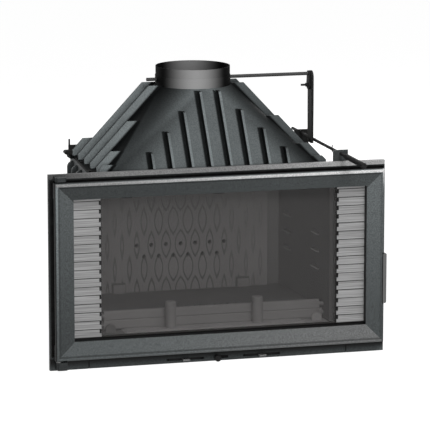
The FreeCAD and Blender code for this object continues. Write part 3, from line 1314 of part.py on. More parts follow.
def make_slider(x):
    y1 = plinth_front() + PLINTH_THICK + SLIDER_PLATE_THICK
    half = SLIDER_TAB_HEIGHT / 2
    tab = box(x - SLIDER_TAB_WIDTH / 2, x + SLIDER_TAB_WIDTH / 2, plinth_front() - SLIDER_TAB_REACH, y1,
              CONTROL_HEIGHT - half, CONTROL_HEIGHT + half)
    corners = [e for e in tab.Edges if e.BoundBox.ZLength > SEAT and e.BoundBox.YMax < plinth_front()]
    tab = tab.makeFillet(SLIDER_TAB_HEIGHT / 2, corners)
    return fuse([slider_plate(x, SLIDER_PLATE_LENGTH), tab])


def make_air_knob():
    x = CONTROL_OFFSET - KNOB_BEFORE_MIDDLE
    y0 = plinth_front()
    root = vec(x, y0 + PLINTH_THICK + SLIDER_PLATE_THICK / 2, CONTROL_HEIGHT)
    neck = vec(x, y0 - KNOB_STEM_REACH, CONTROL_HEIGHT)
    tip = vec(x, y0 - KNOB_STEM_REACH - KNOB_LENGTH, CONTROL_HEIGHT)
    head = rod(KNOB_RADIUS, neck, tip)
    head = head.makeFillet(KNOB_EDGE, [e for e in head.Edges if e.BoundBox.YLength < SEAT])
    return fuse([slider_plate(x, KNOB_PLATE_LENGTH), rod(KNOB_STEM_RADIUS, root, neck), head])


def build():
    nodes["surround"] = make_surround()
    nodes["front_plate"] = make_front_plate()
    nodes["surround_bolts"] = make_surround_bolts()
    nodes["base"] = make_base()
    right_panel = make_side_panel()
    nodes["right_side_panel"] = cut_hood_bolt_holes(right_panel)
    nodes["left_side_panel"] = cut_hood_bolt_holes(mirrored(right_panel))
    nodes["back_panel"] = make_back_panel()
    right_liner = make_liner()
    nodes["right_liner"] = right_liner
    nodes["left_liner"] = mirrored(right_liner)
    nodes["rear_liner"] = make_rear_liner()
    nodes["fireback"] = make_fireback()
    nodes["baffle"] = make_baffle()
    nodes["hearth_plate"] = make_hearth()
    nodes["grate"] = make_grate()
    nodes["ash_pan"] = make_ash_pan()
    nodes["front_sill"] = make_sill()
    nodes["air_deflector"] = make_deflector()
    nodes["log_guard"] = make_log_guard()
    nodes["left_post"] = make_post(-1)
    nodes["right_post"] = make_post(1)
    nodes["hood"] = make_hood()
    nodes["hood_bolts"] = make_hood_bolts()
    nodes["flue_collar"] = make_collar()
    nodes["damper_shaft"] = make_damper_shaft()
    nodes["damper_plate"] = make_damper_plate()
    nodes["damper_screws"] = make_damper_screws()
    nodes["crank_plate"] = make_crank()
    nodes["lever"] = make_lever()
    nodes["clamp_bolt"] = make_clamp_bolt()
    nodes["push_rod"] = make_push_rod()
    nodes["rod_grip"] = make_grip()
    nodes["split_pin"] = make_split_pin()
    nodes["drive_pin"] = make_drive_pin()
    nodes["rod_bracket_front"] = make_front_bracket()
    nodes["rod_bracket_rear"] = make_rear_bracket()
    nodes["left_rear_bracket"] = make_left_bracket()
    nodes["bracket_screws"] = make_bracket_screws()
    nodes["door_frame"] = make_door_frame()
    nodes["glass"] = make_glass()
    nodes["glass_gasket"] = make_gasket()
    nodes["glass_clips"] = make_clips()
    nodes["clip_screws"] = make_clip_screws()
    nodes["door_seal"] = make_rope_seal()
    right_slats = make_slat_panel()
    nodes["right_slat_panel"] = right_slats
    nodes["left_slat_panel"] = mirrored(right_slats)
    make_hinges()
    nodes["door_handle"] = make_handle()
    nodes["handle_pin"] = make_handle_pin()
    nodes["latch_strike"] = make_strike()
    nodes["plinth_panel"] = make_plinth()
    left_centre, right_centre = slider_centres()
    nodes["left_air_slider"] = make_slider(left_centre)
    nodes["right_air_slider"] = make_slider(right_centre)
    nodes["air_knob"] = make_air_knob()


build()
os.makedirs("parts", exist_ok=True)
for name, shape in nodes.items():
    shape.translate(vec(0, y_shift, 0))
    shape.exportStep("parts/" + name + ".step")
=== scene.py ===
import json
import math

import bpy
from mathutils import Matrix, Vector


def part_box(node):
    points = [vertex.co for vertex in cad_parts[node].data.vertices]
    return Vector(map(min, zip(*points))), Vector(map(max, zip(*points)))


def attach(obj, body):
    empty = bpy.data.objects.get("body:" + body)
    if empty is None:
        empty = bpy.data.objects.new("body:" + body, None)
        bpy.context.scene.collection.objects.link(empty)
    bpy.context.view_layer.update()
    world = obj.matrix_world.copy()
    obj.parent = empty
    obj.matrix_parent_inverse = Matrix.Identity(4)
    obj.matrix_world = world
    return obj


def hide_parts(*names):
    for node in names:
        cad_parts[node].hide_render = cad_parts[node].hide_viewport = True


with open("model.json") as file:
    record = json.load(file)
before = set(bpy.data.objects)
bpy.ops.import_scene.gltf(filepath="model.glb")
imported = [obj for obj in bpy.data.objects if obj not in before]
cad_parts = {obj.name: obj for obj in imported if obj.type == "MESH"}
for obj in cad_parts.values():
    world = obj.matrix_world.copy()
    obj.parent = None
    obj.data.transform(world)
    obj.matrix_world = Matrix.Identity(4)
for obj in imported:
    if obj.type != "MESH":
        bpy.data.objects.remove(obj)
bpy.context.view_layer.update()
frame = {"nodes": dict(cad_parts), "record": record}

# Lengths are metres, in the frame of the part. A tone is a share of white.
# A pair called a span is where a change over the surface starts and where it is complete.
# A value called grain, patches, speckle, pores, marks or wipes is the scale of a noise.
nodes = frame["nodes"]

# Where the photograph was taken from, with its angles in degrees
PHOTO_PIXELS = 430
CAMERA_PLACE = (-2.5739, -9.5622, 2.3200)
CAMERA_TURN_RIGHT = 15.2575
CAMERA_LOOK_DOWN = 10.686
CAMERA_FOCAL_PIXELS = 3061
CAMERA_SENSOR_WIDTH = 36.0
CAMERA_CLIP_END = 100.0

# Floor and light
FLOOR_SIZE = 60.0
FLOOR_TONE = 0.30
FLOOR_GLOW = 0.965
SKY_TONE = 0.8
SKY_LIGHT = 0.06
KEY_LAMP_PLACE = (0.7, -2.9, 3.9)
FRONT_LAMP_PLACE = (-1.2, -5.3, 0.9)
REAR_LEFT_LAMP_PLACE = (-2.2, 4.4, 1.6)
REAR_RIGHT_LAMP_PLACE = (2.2, 4.4, 1.6)
FRONT_TARGET = (0.0, 0.0, 0.5)
REAR_TARGET = (0.0, 0.0, 0.4)

# Tints, the lightest tone that changes over a surface, and how much dull and flat finishes shine
COOL = (0.90, 1.0, 1.02)
WARM = (1.03, 0.99, 0.98)
NEUTRAL = (1.0, 1.0, 1.0)
LIGHTEST = 0.6
DULL = 0.12
FLAT = 0.02

# Detail of the noise in pores, grain, brush marks and broad patches, and the spans that make shares of it
PORE_DETAIL = 1.0
GRAIN_DETAIL = 2.0
BRUSH_DETAIL = 3.0
PATCH_DETAIL = 4.0
GRAIN_SPAN = (0.36, 0.64)
MOTTLE_SPAN = (0.3, 0.7)

# Places on the part, from the frame
door_low, door_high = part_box("door_frame")
door_front = door_low.y
door_half = door_high.x
door_bottom = door_low.z
door_top = door_high.z
plinth_low, plinth_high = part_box("plinth_panel")
plinth_face = plinth_low.y
plinth_half = plinth_high.x
slat_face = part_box("left_slat_panel")[0].y
fireback_low, fireback_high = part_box("fireback")
fireback_half = fireback_high.x
collar_low, collar_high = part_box("flue_collar")
collar_depth = (collar_low.y + collar_high.y) / 2
collar_radius = collar_high.x
hood_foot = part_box("hood")[0].z
hood_rise = collar_low.z - hood_foot

# Lower edge of the glass that shows in the door
DOOR_OPENING_BOTTOM = 0.100


def grey(value, tint=NEUTRAL):
    return tuple(value * share for share in tint) + (1.0,)


def ramp(low, high, share):
    """From low to high as the share goes from 0 to 1."""
    return low + (high - low) * share


class Wire:
    """A socket in a node tree. Arithmetic on wires adds the Math nodes for it."""

    def __init__(self, shading, socket):
        self.shading = shading
        self.socket = socket

    def __getitem__(self, name):
        return Wire(self.shading, self.socket.node.outputs[name])

    def math(self, operation, first, second=0.0):
        return self.shading.add("ShaderNodeMath", {"operation": operation}, {0: first, 1: second})

    def __add__(self, other):
        return self.math("ADD", self, other)

    __radd__ = __add__

    def __mul__(self, other):
        return self.math("MULTIPLY", self, other)

    __rmul__ = __mul__

    def __sub__(self, other):
        return self.math("SUBTRACT", self, other)

    def __rsub__(self, other):
        return self.math("SUBTRACT", other, self)

    def __truediv__(self, other):
        return self.math("DIVIDE", self, other)

    def __lt__(self, other):
        return self.math("LESS_THAN", self, other)

    def __gt__(self, other):
        return self.math("GREATER_THAN", self, other)

    def __abs__(self):
        return self.math("ABSOLUTE", self)

    def fraction(self):
        return self.math("FRACT", self)

    def sine(self):
        return self.math("SINE", self)

    def largest(self, other):
        return self.math("MAXIMUM", self, other)

    def smallest(self, other):
        return self.math("MINIMUM", self, other)

    def between(self, low, high):
        """0 below low, 1 above high, and smooth from one to the other."""
        return self.shading.add("ShaderNodeMapRange", {"interpolation_type": "SMOOTHSTEP"},
                                {"Value": self, "From Min": low, "From Max": high})


class Shading:
    """A node tree. Each node is added by its type, its settings and the values or wires of its sockets."""

    def __init__(self, owner):
        owner.use_nodes = True
        self.tree = owner.node_tree
        self.tree.nodes.clear()

    def add(self, kind, settings=None, values=None):
        node = self.tree.nodes.new(kind)
        for key, value in (settings or {}).items():
            setattr(node, key, value)
        for key, value in (values or {}).items():
            socket = node.inputs[key]
            if isinstance(value, Wire):
                self.tree.links.new(value.socket, socket)
            else:
                socket.default_value = value
        return Wire(self, next((out for out in node.outputs if out.enabled), None))

    def seen(self):
        """1 for what is seen straight, through glass or in a reflection, and 0 for what only lights."""
        path = self.add("ShaderNodeLightPath")
        return path["Is Camera Ray"].largest(path["Is Transmission Ray"]).largest(path["Is Glossy Ray"])


class Finish(Shading):
    """A material, with the patterns that the finishes are made of."""

    def __init__(self, name):
        self.material = bpy.data.materials.new(name)
        super().__init__(self.material)

    def place(self):
        return self.add("ShaderNodeTexCoord")["Object"]

    def axes(self):
        split = self.add("ShaderNodeSeparateXYZ", None, {0: self.place()})
        return split["X"], split["Y"], split["Z"]

    def stretched(self, scale):
        return self.add("ShaderNodeMapping", None, {"Vector": self.place(), "Scale": scale})

    def noise(self, scale, detail, vector=None):
        values = {"Vector": vector or self.place(), "Scale": scale, "Detail": detail}
        return self.add("ShaderNodeTexNoise", None, values)

    def grain(self, scale):
        return self.noise(scale, GRAIN_DETAIL)

    def patches(self, scale):
        return self.noise(scale, PATCH_DETAIL)

    def brush_marks(self, scale):
        """Fine lines along the axis with the smallest scale."""
        return self.noise(1.0, BRUSH_DETAIL, self.stretched(scale))

    def blend(self, share, first, second):
        """One colour into another, by a share that changes over the surface."""
        mixed = self.add("ShaderNodeMix", {"data_type": "RGBA"}, {0: share, 6: first, 7: second})
        return Wire(self, mixed.socket.node.outputs[2])

    def toned(self, tone, tint):
        """A colour of a tone that changes over the surface, from 0 to LIGHTEST."""
        return self.blend(tone / LIGHTEST, grey(0.0), grey(LIGHTEST, tint))

    def bump(self, height, distance):
        return self.add("ShaderNodeBump", None, {"Height": height, "Distance": distance})

    def surface(self, **values):
        """The finished material. Each value is named for its socket on the Principled shader."""
        named = {key.replace("_", " ").title(): value for key, value in values.items()}
        named = {key.replace("Ior", "IOR"): value for key, value in named.items()}
        shader = self.add("ShaderNodeBsdfPrincipled", None, named)
        self.add("ShaderNodeOutputMaterial", None, {"Surface": shader})
        return self.material


# Stove paint
PAINT_GRAIN = 330.0
PAINT_GRAIN_CONTRAST = (0.74, 1.26)
PAINT_ROUGHNESS = (0.42, 0.58)
PAINT_BUMP = 0.0004


def painted(finish, tone, plain=0.0):
    """Fine-textured stove paint of the tone given, bluish where the plain share is 0."""
    grain = finish.grain(PAINT_GRAIN)
    share = grain.between(*GRAIN_SPAN)
    tone = tone * ramp(*PAINT_GRAIN_CONTRAST, share)
    colour = finish.blend(plain, finish.toned(tone, COOL), finish.toned(tone, NEUTRAL))
    return finish.surface(base_color=colour, roughness=ramp(*PAINT_ROUGHNESS, share),
                          specular_ior_level=DULL, normal=finish.bump(grain, PAINT_BUMP))


def paint_finish(name, tone):
    return painted(Finish(name), tone)


# Paint of the door: the mitred strips of its face in painted light and shade, a painted highlight on the
# bead round it with a painted shade line inside it, and painted highlights along its top and right edges
DOOR_ROUNDING = 0.011
# A painted highlight on the rounded bead round the face, and a painted shade line where the bead meets the
# flat face
DOOR_BEAD_SPAN = (0.8 * DOOR_ROUNDING, DOOR_ROUNDING)
DOOR_SHADE_LINE_PLACE = 1.2 * DOOR_ROUNDING
DOOR_SHADE_LINE_SPAN = (0.0022, 0.0048)
# Painted light and shade on the face: stiles paler upwards and on the right, the lower rail paler than the
# upper, both paler to the right
DOOR_STILE_TONES = (0.042, 0.074)
DOOR_STILE_RIGHT_SHARE = 1.35
DOOR_LOWER_RAIL_TONES = (0.078, 0.128)
DOOR_UPPER_RAIL_TONES = (0.033, 0.050)
DOOR_RAIL_BEAD_HIGHLIGHT = 0.5
DOOR_STILE_BEAD_HIGHLIGHT = (0.45, 1.2)
DOOR_RAIL_SHADE_LINE = 0.5
DOOR_STILE_SHADE_LINE = 0.25
# Painted highlights along the top edge and down the upper right edge, paler to the right
DOOR_HIGHLIGHT_TONES = (0.17, 0.48)
DOOR_TOP_HIGHLIGHT_PLACE = 0.007
DOOR_TOP_HIGHLIGHT_SPAN = (0.003, 0.006)
DOOR_SIDE_HIGHLIGHT_PLACE = 0.006
DOOR_SIDE_HIGHLIGHT_SPAN = (0.002, 0.005)
DOOR_SIDE_HIGHLIGHT_HEIGHT = (0.54, 0.61)
DOOR_RAIL_PLAIN_SHARE = 0.8
# The rim behind the face and the door's left edge are painted black for their shade
DOOR_BACK_SHADE_SPAN = (0.0065, 0.0080)
DOOR_LEFT_EDGE_SHADE_SPAN = (0.002, 0.004)
DOOR_BACK_SHADE_TONE = 0.006


def door_finish(name):
    """Paint on the door's face, in mitred strips with painted light and shade; its left edge and the rim
    behind it are painted black for their shade.
    """
    finish = Finish(name)
    x, y, z = finish.axes()
    from_left = x + door_half
    from_right = door_half - x
    sides = from_left.smallest(from_right)
    ends = (z - door_bottom).smallest(door_top - z)
    edge = sides.smallest(ends)
    on_stile = ends > sides
    rightwards = x.between(-door_half, door_half)
    upwards = z.between(door_bottom, door_top)
    upper = upwards > 0.5
    # Painted light and shade of the stiles and rails
    stile = ramp(*DOOR_STILE_TONES, upwards) * ramp(1.0, DOOR_STILE_RIGHT_SHARE, rightwards)
    rail = ramp(ramp(*DOOR_LOWER_RAIL_TONES, rightwards), ramp(*DOOR_UPPER_RAIL_TONES, rightwards), upper)
    # Painted highlight on the rounded bead, and a painted shade line inside it
    rounded = (1.0 - edge.between(*DOOR_BEAD_SPAN)) * (from_right > DOOR_ROUNDING)
    bead_highlight = DOOR_RAIL_BEAD_HIGHLIGHT + on_stile * ramp(*DOOR_STILE_BEAD_HIGHLIGHT, upwards)
    dark_line = 1.0 - abs(edge - DOOR_SHADE_LINE_PLACE).between(*DOOR_SHADE_LINE_SPAN)
    shade = ramp(DOOR_RAIL_SHADE_LINE, DOOR_STILE_SHADE_LINE, on_stile)
    tone = ramp(rail, stile, on_stile) * (1.0 + bead_highlight * rounded) * (1.0 - shade * dark_line)
    # Painted highlights along the top and upper right edges
    top_highlight = 1.0 - abs(door_top - DOOR_TOP_HIGHLIGHT_PLACE - z).between(*DOOR_TOP_HIGHLIGHT_SPAN)
    side_highlight = 1.0 - abs(from_right - DOOR_SIDE_HIGHLIGHT_PLACE).between(*DOOR_SIDE_HIGHLIGHT_SPAN)
    edge_highlights = top_highlight.largest(side_highlight * z.between(*DOOR_SIDE_HIGHLIGHT_HEIGHT))
    tone = ramp(tone, ramp(*DOOR_HIGHLIGHT_TONES, rightwards), edge_highlights)
    # Painted shade: black on the rim behind the face and on the left edge
    shaded_back = (y - door_front).between(*DOOR_BACK_SHADE_SPAN)
    shaded_back = shaded_back.largest(1.0 - from_left.between(*DOOR_LEFT_EDGE_SHADE_SPAN))
    plain = edge_highlights.largest(DOOR_RAIL_PLAIN_SHARE * rightwards * (1.0 - upper) * (1.0 - on_stile))
    return painted(finish, ramp(tone, DOOR_BACK_SHADE_TONE, shaded_back), plain)


# Paint below the door, with a painted shadow under the door
UNDER_DOOR_TONES = (0.060, 0.085)
UNDER_DOOR_SHADOW_TONE = 0.003
UNDER_DOOR_SHADOW_SPAN = (0.0, 0.028)


def under_door(x, z):
    """Tone of the paint below the door, with a painted shadow that darkens towards the door's lower edge,
    and darker on the left.
    """
    open_tone = ramp(*UNDER_DOOR_TONES, x.between(0.0, door_half))
    # Painted shadow darkening towards the door's lower edge
    return ramp(open_tone, UNDER_DOOR_SHADOW_TONE, z.between(*UNDER_DOOR_SHADOW_SPAN))


# Paint of the surround, with painted light along the top and painted shade down the sides and below
SURROUND_TOP_SPAN = (0.625, 0.626)
SURROUND_LIT_TOP_TONES = (0.165, 0.29)
SURROUND_LIGHT_SPAN = (0.0, 0.44)
SURROUND_LEFT_SHADOW_SHARE = 0.3
SURROUND_LEFT_SHADOW_SPAN = (-0.56, -0.30)
SURROUND_SIDE_SHADE_TONES = (0.035, 0.008)
SURROUND_SIDE_FOOT = 0.04


def surround_finish(name):
    """Painted light along the top, paler to the right and with a painted shadow at its left end; painted
    shade down the sides and below.
    """
    finish = Finish(name)
    x, _, z = finish.axes()
    # Painted light along the top, with a painted shadow at its left end; painted shade down the sides and
    # below
    lit_top = ramp(*SURROUND_LIT_TOP_TONES, x.between(*SURROUND_LIGHT_SPAN))
    lit_top = lit_top * ramp(SURROUND_LEFT_SHADOW_SHARE, 1.0, x.between(*SURROUND_LEFT_SHADOW_SPAN))
    shaded = ramp(*SURROUND_SIDE_SHADE_TONES, z.between(SURROUND_SIDE_FOOT, door_top))
    shaded = ramp(shaded, under_door(x, z), z < door_bottom)
    on_top = z.between(*SURROUND_TOP_SPAN)
    return painted(finish, ramp(shaded, lit_top, on_top), on_top)


# Paint of the plinth panel and of the air sliders in it
PLINTH_SEAM_SPAN = (plinth_half - 0.004, plinth_half - 0.002)
PLINTH_SEAM_SHADE = 0.9
# Black painted shade behind the plinth panel, and the tone of the tab in front of it
SLIDER_TONES = (0.004, 0.17)
SLIDER_TAB_SPAN = (0.0, 0.002)


def plinth_finish(name):
    """Paint that is darker at its seams, with a painted shadow close under the door."""
    finish = Finish(name)
    x, _, z = finish.axes()
    dark_line = abs(x).between(*PLINTH_SEAM_SPAN)
    return painted(finish, under_door(x, z) * (1.0 - PLINTH_SEAM_SHADE * dark_line))


def slider_finish(name):
    """Black paint for the shade behind the plinth panel, paler and plain on the tab in front of it."""
    finish = Finish(name)
    forward = plinth_face - finish.axes()[1]
    return painted(finish, ramp(*SLIDER_TONES, forward.between(*SLIDER_TAB_SPAN)), 1.0)


# Sand-cast iron of the body
CAST_PATCHES = 9.0
CAST_SPECKLE = 420.0
CAST_PORES = 1500.0
CAST_PATCH_SHARE = 0.55
CAST_SPECKLE_SHARE = 0.7
CAST_TONES = (0.045, 0.070)
CAST_ROUGHNESS = (0.5, 0.7)
CAST_BUMP = 0.0006


def cast_finish(name):
    """Sand-cast iron: a fine grain, with broad patches of slightly different tone."""
    finish = Finish(name)
    patches = finish.patches(CAST_PATCHES)
    speckle = finish.grain(CAST_SPECKLE)
    pores = finish.noise(CAST_PORES, PORE_DETAIL)
    mottle = ramp(speckle, patches, CAST_PATCH_SHARE).between(*MOTTLE_SPAN)
    height = ramp(pores, speckle, CAST_SPECKLE_SHARE)
    return finish.surface(base_color=finish.toned(ramp(*CAST_TONES, mottle), COOL),
                          roughness=ramp(*CAST_ROUGHNESS, patches), specular_ior_level=DULL,
                          normal=finish.bump(height, CAST_BUMP))


# Shape of the hood
HOOD_FLANGE_TOP = 0.620
HOOD_FOOT_FRONT = -0.147
HOOD_FOOT_HALF = 0.368
HOOD_TOP_RADIUS = 0.129
FRONT_FIN_PITCH = 0.0645
FRONT_FIN_MIDDLE = 0.015
FRONT_FIN_SLOPE = 0.908
FRONT_FIN_HALF_RUN = 0.299

# Cast iron of the hood: its faces and corners, with painted shade towards the left and right edges,
# painted light on the rounded corners and a painted shadow at the foot
HOOD_TONE = 0.096
# Tone of the painted shade on the flange and at the side fins' roots
HOOD_SHADE_TONE = 0.005
HOOD_LEFT_SHADE_SHARES = (0.32, 0.02)
HOOD_LEFT_SHADE_SPAN = (0.005, 0.18)
HOOD_RIGHT_SHADE_SHARE = 0.08
HOOD_RIGHT_SHADE_SPAN = (0.0, 0.14)
HOOD_CORNER_LIGHT_SHARE = 1.8
HOOD_CORNER_LIGHT_SPAN = (-0.012, 0.025)
HOOD_RIGHT_CORNER_LIGHT = 0.4
HOOD_FOOT_SHADOW_SHARE = 0.5
HOOD_FOOT_SHADOW_SPAN = (0.632, 0.640)
HOOD_FLANGE_SHADE_SPAN = (HOOD_FLANGE_TOP, HOOD_FLANGE_TOP + 0.002)
HOOD_GRAIN = 280.0
HOOD_GRAIN_CONTRAST = (0.86, 1.14)
HOOD_PATCH_CONTRAST = (0.9, 1.1)
HOOD_ROUGHNESS = (0.55, 0.70)
HOOD_BUMP = 0.0004

# Cast iron of the hood: its front fins, by how far they stand proud of the face, with painted shadows
# beside them and on their flanks and painted highlights on their edges, and its side fins, painted lit on
# the left and shaded on the right
FIN_SHADOW = 0.88
FIN_SHADOW_SPAN = (0.011, 0.017)
FIN_SHADOW_LOWEST = -0.004
FIN_FLANK_SHADE = 0.85
FIN_FLANK_SPAN = (0.002, 0.005)
FIN_EDGE_HIGHLIGHT = 0.6
FIN_EDGE_HIGHLIGHT_SPAN = (0.031, 0.034)
SIDE_FIN_LIT_TONE = 0.165
SIDE_FIN_SHADED_TONE = 0.075
SIDE_FIN_ROOT_SHADE_SPAN = (-0.010, -0.004)
SIDE_FIN_SPAN = (0.003, 0.014)


def fin_shadow(x, z, proud):
    """1 on the face of the hood, on the left of each front fin and no higher than the fin."""
    first_fin = FRONT_FIN_MIDDLE + FRONT_FIN_PITCH / 2
    to_fin = FRONT_FIN_PITCH * (1.0 - ((x - first_fin) / FRONT_FIN_PITCH).fraction())
    fin_run = FRONT_FIN_HALF_RUN - abs(x + to_fin - FRONT_FIN_MIDDLE)
    below_top = z < HOOD_FLANGE_TOP + FRONT_FIN_SLOPE * fin_run
    on_face = (proud < FIN_FLANK_SPAN[0]) * (proud > FIN_SHADOW_LOWEST)
    return (1.0 - to_fin.between(*FIN_SHADOW_SPAN)) * below_top * on_face


def hood_finish(name):
    """Cast iron with painted shade towards its edges, at its foot, on its flange and beside the fins,
    painted light on the rounded corners, and painted highlights on the fins' edges.
    """
    finish = Finish(name)
    x, y, z = finish.axes()
    rise = (z - hood_foot) / hood_rise
    side = ramp(HOOD_FOOT_HALF, HOOD_TOP_RADIUS, rise)
    beyond_side = abs(x) - side
    proud = ramp(HOOD_FOOT_FRONT, collar_depth - HOOD_TOP_RADIUS, rise) - y
    on_right = x > 0.0
    # Painted shade towards the left and right edges, painted light on the rounded corners, and a painted
    # shadow at the foot
    left_shade = ramp(ramp(*HOOD_LEFT_SHADE_SHARES, rise), 1.0, (x + side).between(*HOOD_LEFT_SHADE_SPAN))
    right_shade = ramp(HOOD_RIGHT_SHADE_SHARE, 1.0, (side - x).between(*HOOD_RIGHT_SHADE_SPAN))
    corner_light = (abs(x) - HOOD_FOOT_HALF * (1.0 - rise)).between(*HOOD_CORNER_LIGHT_SPAN)
    corner_light = corner_light * ramp(1.0, HOOD_RIGHT_CORNER_LIGHT, on_right)
    foot_shadow = ramp(HOOD_FOOT_SHADOW_SHARE, 1.0, z.between(*HOOD_FOOT_SHADOW_SPAN))
    tone = HOOD_TONE * left_shade * right_shade * ramp(1.0, HOOD_CORNER_LIGHT_SHARE, corner_light) * foot_shadow
    # Painted highlight on the fins' front edges and painted shade on their flanks
    edge = proud.between(*FIN_EDGE_HIGHLIGHT_SPAN)
    flank = proud.between(*FIN_FLANK_SPAN) * (1.0 - edge)
    tone = tone * (1.0 - FIN_SHADOW * fin_shadow(x, z, proud))
    tone = tone * (1.0 - FIN_FLANK_SHADE * flank) * (1.0 + FIN_EDGE_HIGHLIGHT * edge)
    # Painted shade at the side fins' roots; the left side fins are painted lit and the right ones shaded
    tone = ramp(tone, HOOD_SHADE_TONE, beyond_side.between(*SIDE_FIN_ROOT_SHADE_SPAN))
    side_fin = ramp(SIDE_FIN_LIT_TONE, SIDE_FIN_SHADED_TONE, on_right)
    tone = ramp(tone, side_fin, beyond_side.between(*SIDE_FIN_SPAN))
    # Painted shade on the flange
    tone = ramp(HOOD_SHADE_TONE, tone, z.between(*HOOD_FLANGE_SHADE_SPAN))
    patches = finish.patches(CAST_PATCHES)
    grain = finish.grain(HOOD_GRAIN)
    tone = tone * ramp(*HOOD_GRAIN_CONTRAST, grain.between(*GRAIN_SPAN))
    tone = tone * ramp(*HOOD_PATCH_CONTRAST, patches)
    return finish.surface(base_color=finish.toned(tone, COOL), roughness=ramp(*HOOD_ROUGHNESS, patches),
                          specular_ior_level=FLAT, normal=finish.bump(grain, HOOD_BUMP))


# Enamel of the flue collar, with a painted highlight where it faces the way given in x and y, and painted
# shade round its sides
COLLAR_HIGHLIGHT_WAY = (-0.208, -0.978)
COLLAR_HIGHLIGHT_FROM = 0.55
COLLAR_SHADE_TONE = 0.003
COLLAR_FRONT_HIGHLIGHT_TONE = 0.25
COLLAR_REAR_HIGHLIGHT_TONE = 0.20
COLLAR_GRAIN = 600.0
COLLAR_GRAIN_CONTRAST = (0.9, 1.1)
COLLAR_ROUGHNESS = (0.66, 0.72)
COLLAR_BUMP = 0.0001


def collar_finish(name):
    """Black enamel with a painted highlight down the front and a weaker one down the rear, and painted
    shade round the sides.
    """
    finish = Finish(name)
    x, y, _ = finish.axes()
    # Painted highlight and shade by how the surface faces
    facing = abs(COLLAR_HIGHLIGHT_WAY[0] * x + COLLAR_HIGHLIGHT_WAY[1] * (y - collar_depth)) / collar_radius
    share = (facing.largest(COLLAR_HIGHLIGHT_FROM) - COLLAR_HIGHLIGHT_FROM) / (1.0 - COLLAR_HIGHLIGHT_FROM)
    highlight_tone = ramp(COLLAR_FRONT_HIGHLIGHT_TONE, COLLAR_REAR_HIGHLIGHT_TONE, y > collar_depth)
    grain = finish.grain(COLLAR_GRAIN)
    tone = ramp(COLLAR_SHADE_TONE, highlight_tone, share * share) * ramp(*COLLAR_GRAIN_CONTRAST, grain)
    return finish.surface(base_color=finish.toned(tone, NEUTRAL), roughness=ramp(*COLLAR_ROUGHNESS, grain),
                          specular_ior_level=FLAT, normal=finish.bump(grain, COLLAR_BUMP))


# Iron inside the firebox
PALE_IRON_TONES = (0.30, 0.38)
LINING_PATCHES = 7.0
LINING_SPECKLE = 350.0
LINING_PATCH_SHARE = 0.6
LINING_ROUGHNESS = (0.62, 0.82)
LINING_BUMP = 0.0005
SOOT_SPAN = (0.25, 0.62)
SOOT_RAGGEDNESS = 0.1
SOOT_SHARE = 0.35
SOOT_AND_SHADE_TONE_SHARE = 0.12


def lining_patterns(finish):
    """Broad patches, fine speckle, and both together as a share from 0 to 1."""
    patches = finish.patches(LINING_PATCHES)
    speckle = finish.grain(LINING_SPECKLE)
    return patches, speckle, ramp(speckle, patches, LINING_PATCH_SHARE).between(*MOTTLE_SPAN)


def risen_soot(z, patches):
    """0 low in the firebox and 1 at its top, with a ragged line between."""
    return (z + SOOT_RAGGEDNESS * patches).between(*SOOT_SPAN)


def sooted_and_shaded(finish, tones, patterns, soot_and_shade):
    """Iron between the two tones given, under the share of soot and painted shade given."""
    patches, speckle, mottle = patterns
    dark, light = tones
    bare = finish.blend(mottle, grey(dark, WARM), grey(light, WARM))
    colour = finish.blend(soot_and_shade, bare, grey(SOOT_AND_SHADE_TONE_SHARE * dark, WARM))
    return finish.surface(base_color=colour, roughness=ramp(*LINING_ROUGHNESS, patches),
                          specular_ior_level=DULL, normal=finish.bump(speckle, LINING_BUMP))


def firebox_finish(name, tones):
    """Iron inside the firebox, darker with soot towards the top."""
    finish = Finish(name)
    patterns = lining_patterns(finish)
    soot_and_shade = SOOT_SHARE * risen_soot(finish.axes()[2], patterns[0])
    return sooted_and_shaded(finish, tones, patterns, soot_and_shade)


# Iron of the fireback, with painted shade in its engraved lines and round its feet
FIREBACK_SOOT_SHARE = 0.52
FOOT_PLACE = 0.218
FOOT_HALF = 0.020
FOOT_DEPTH = 0.012
FOOT_HEIGHT = 0.030
FOOT_SHADE = 0.55
FOOT_SHADE_SPAN = (0.003, 0.006)
FOOT_FRONT_UNSHADED = 0.001
LINE_SHADE_SHARES = (0.62, 0.30)
LINE_SHADE_MIDDLE = -0.03
LINE_SHADE_SIDE_SPAN = (0.10, 0.28)
LINE_SHADE_TOP_SHARE = 0.3
LINE_SHADE_TOP_SPAN = (0.43, 0.50)
LINE_DEPTH_SPAN = (0.0008, 0.0030)


def fireback_finish(name):
    """Pale iron, sooty towards the top, with painted shade in the engraved lines and round the feet."""
    finish = Finish(name)
    x, y, z = finish.axes()
    patterns = lining_patterns(finish)
    behind_feet = y - fireback_low.y
    soot_and_shade = FIREBACK_SOOT_SHARE * risen_soot(z, patterns[0])
    # Painted shade in the engraved lines, fading to the sides and towards the top
    in_lines = ramp(*LINE_SHADE_SHARES, abs(x - LINE_SHADE_MIDDLE).between(*LINE_SHADE_SIDE_SPAN))
    in_lines = in_lines * ramp(1.0, LINE_SHADE_TOP_SHARE, z.between(*LINE_SHADE_TOP_SPAN))
    soot_and_shade = soot_and_shade.largest(in_lines * (behind_feet - FOOT_DEPTH).between(*LINE_DEPTH_SPAN))
    # Painted shade round the feet
    beside_foot = abs(abs(x) - FOOT_PLACE) - FOOT_HALF
    beyond_foot = beside_foot.largest(z - fireback_low.z - FOOT_HEIGHT)
    round_foot = (1.0 - beyond_foot.between(*FOOT_SHADE_SPAN)) * (behind_feet > FOOT_FRONT_UNSHADED)
    return sooted_and_shaded(finish, PALE_IRON_TONES, patterns, soot_and_shade.largest(FOOT_SHADE * round_foot))


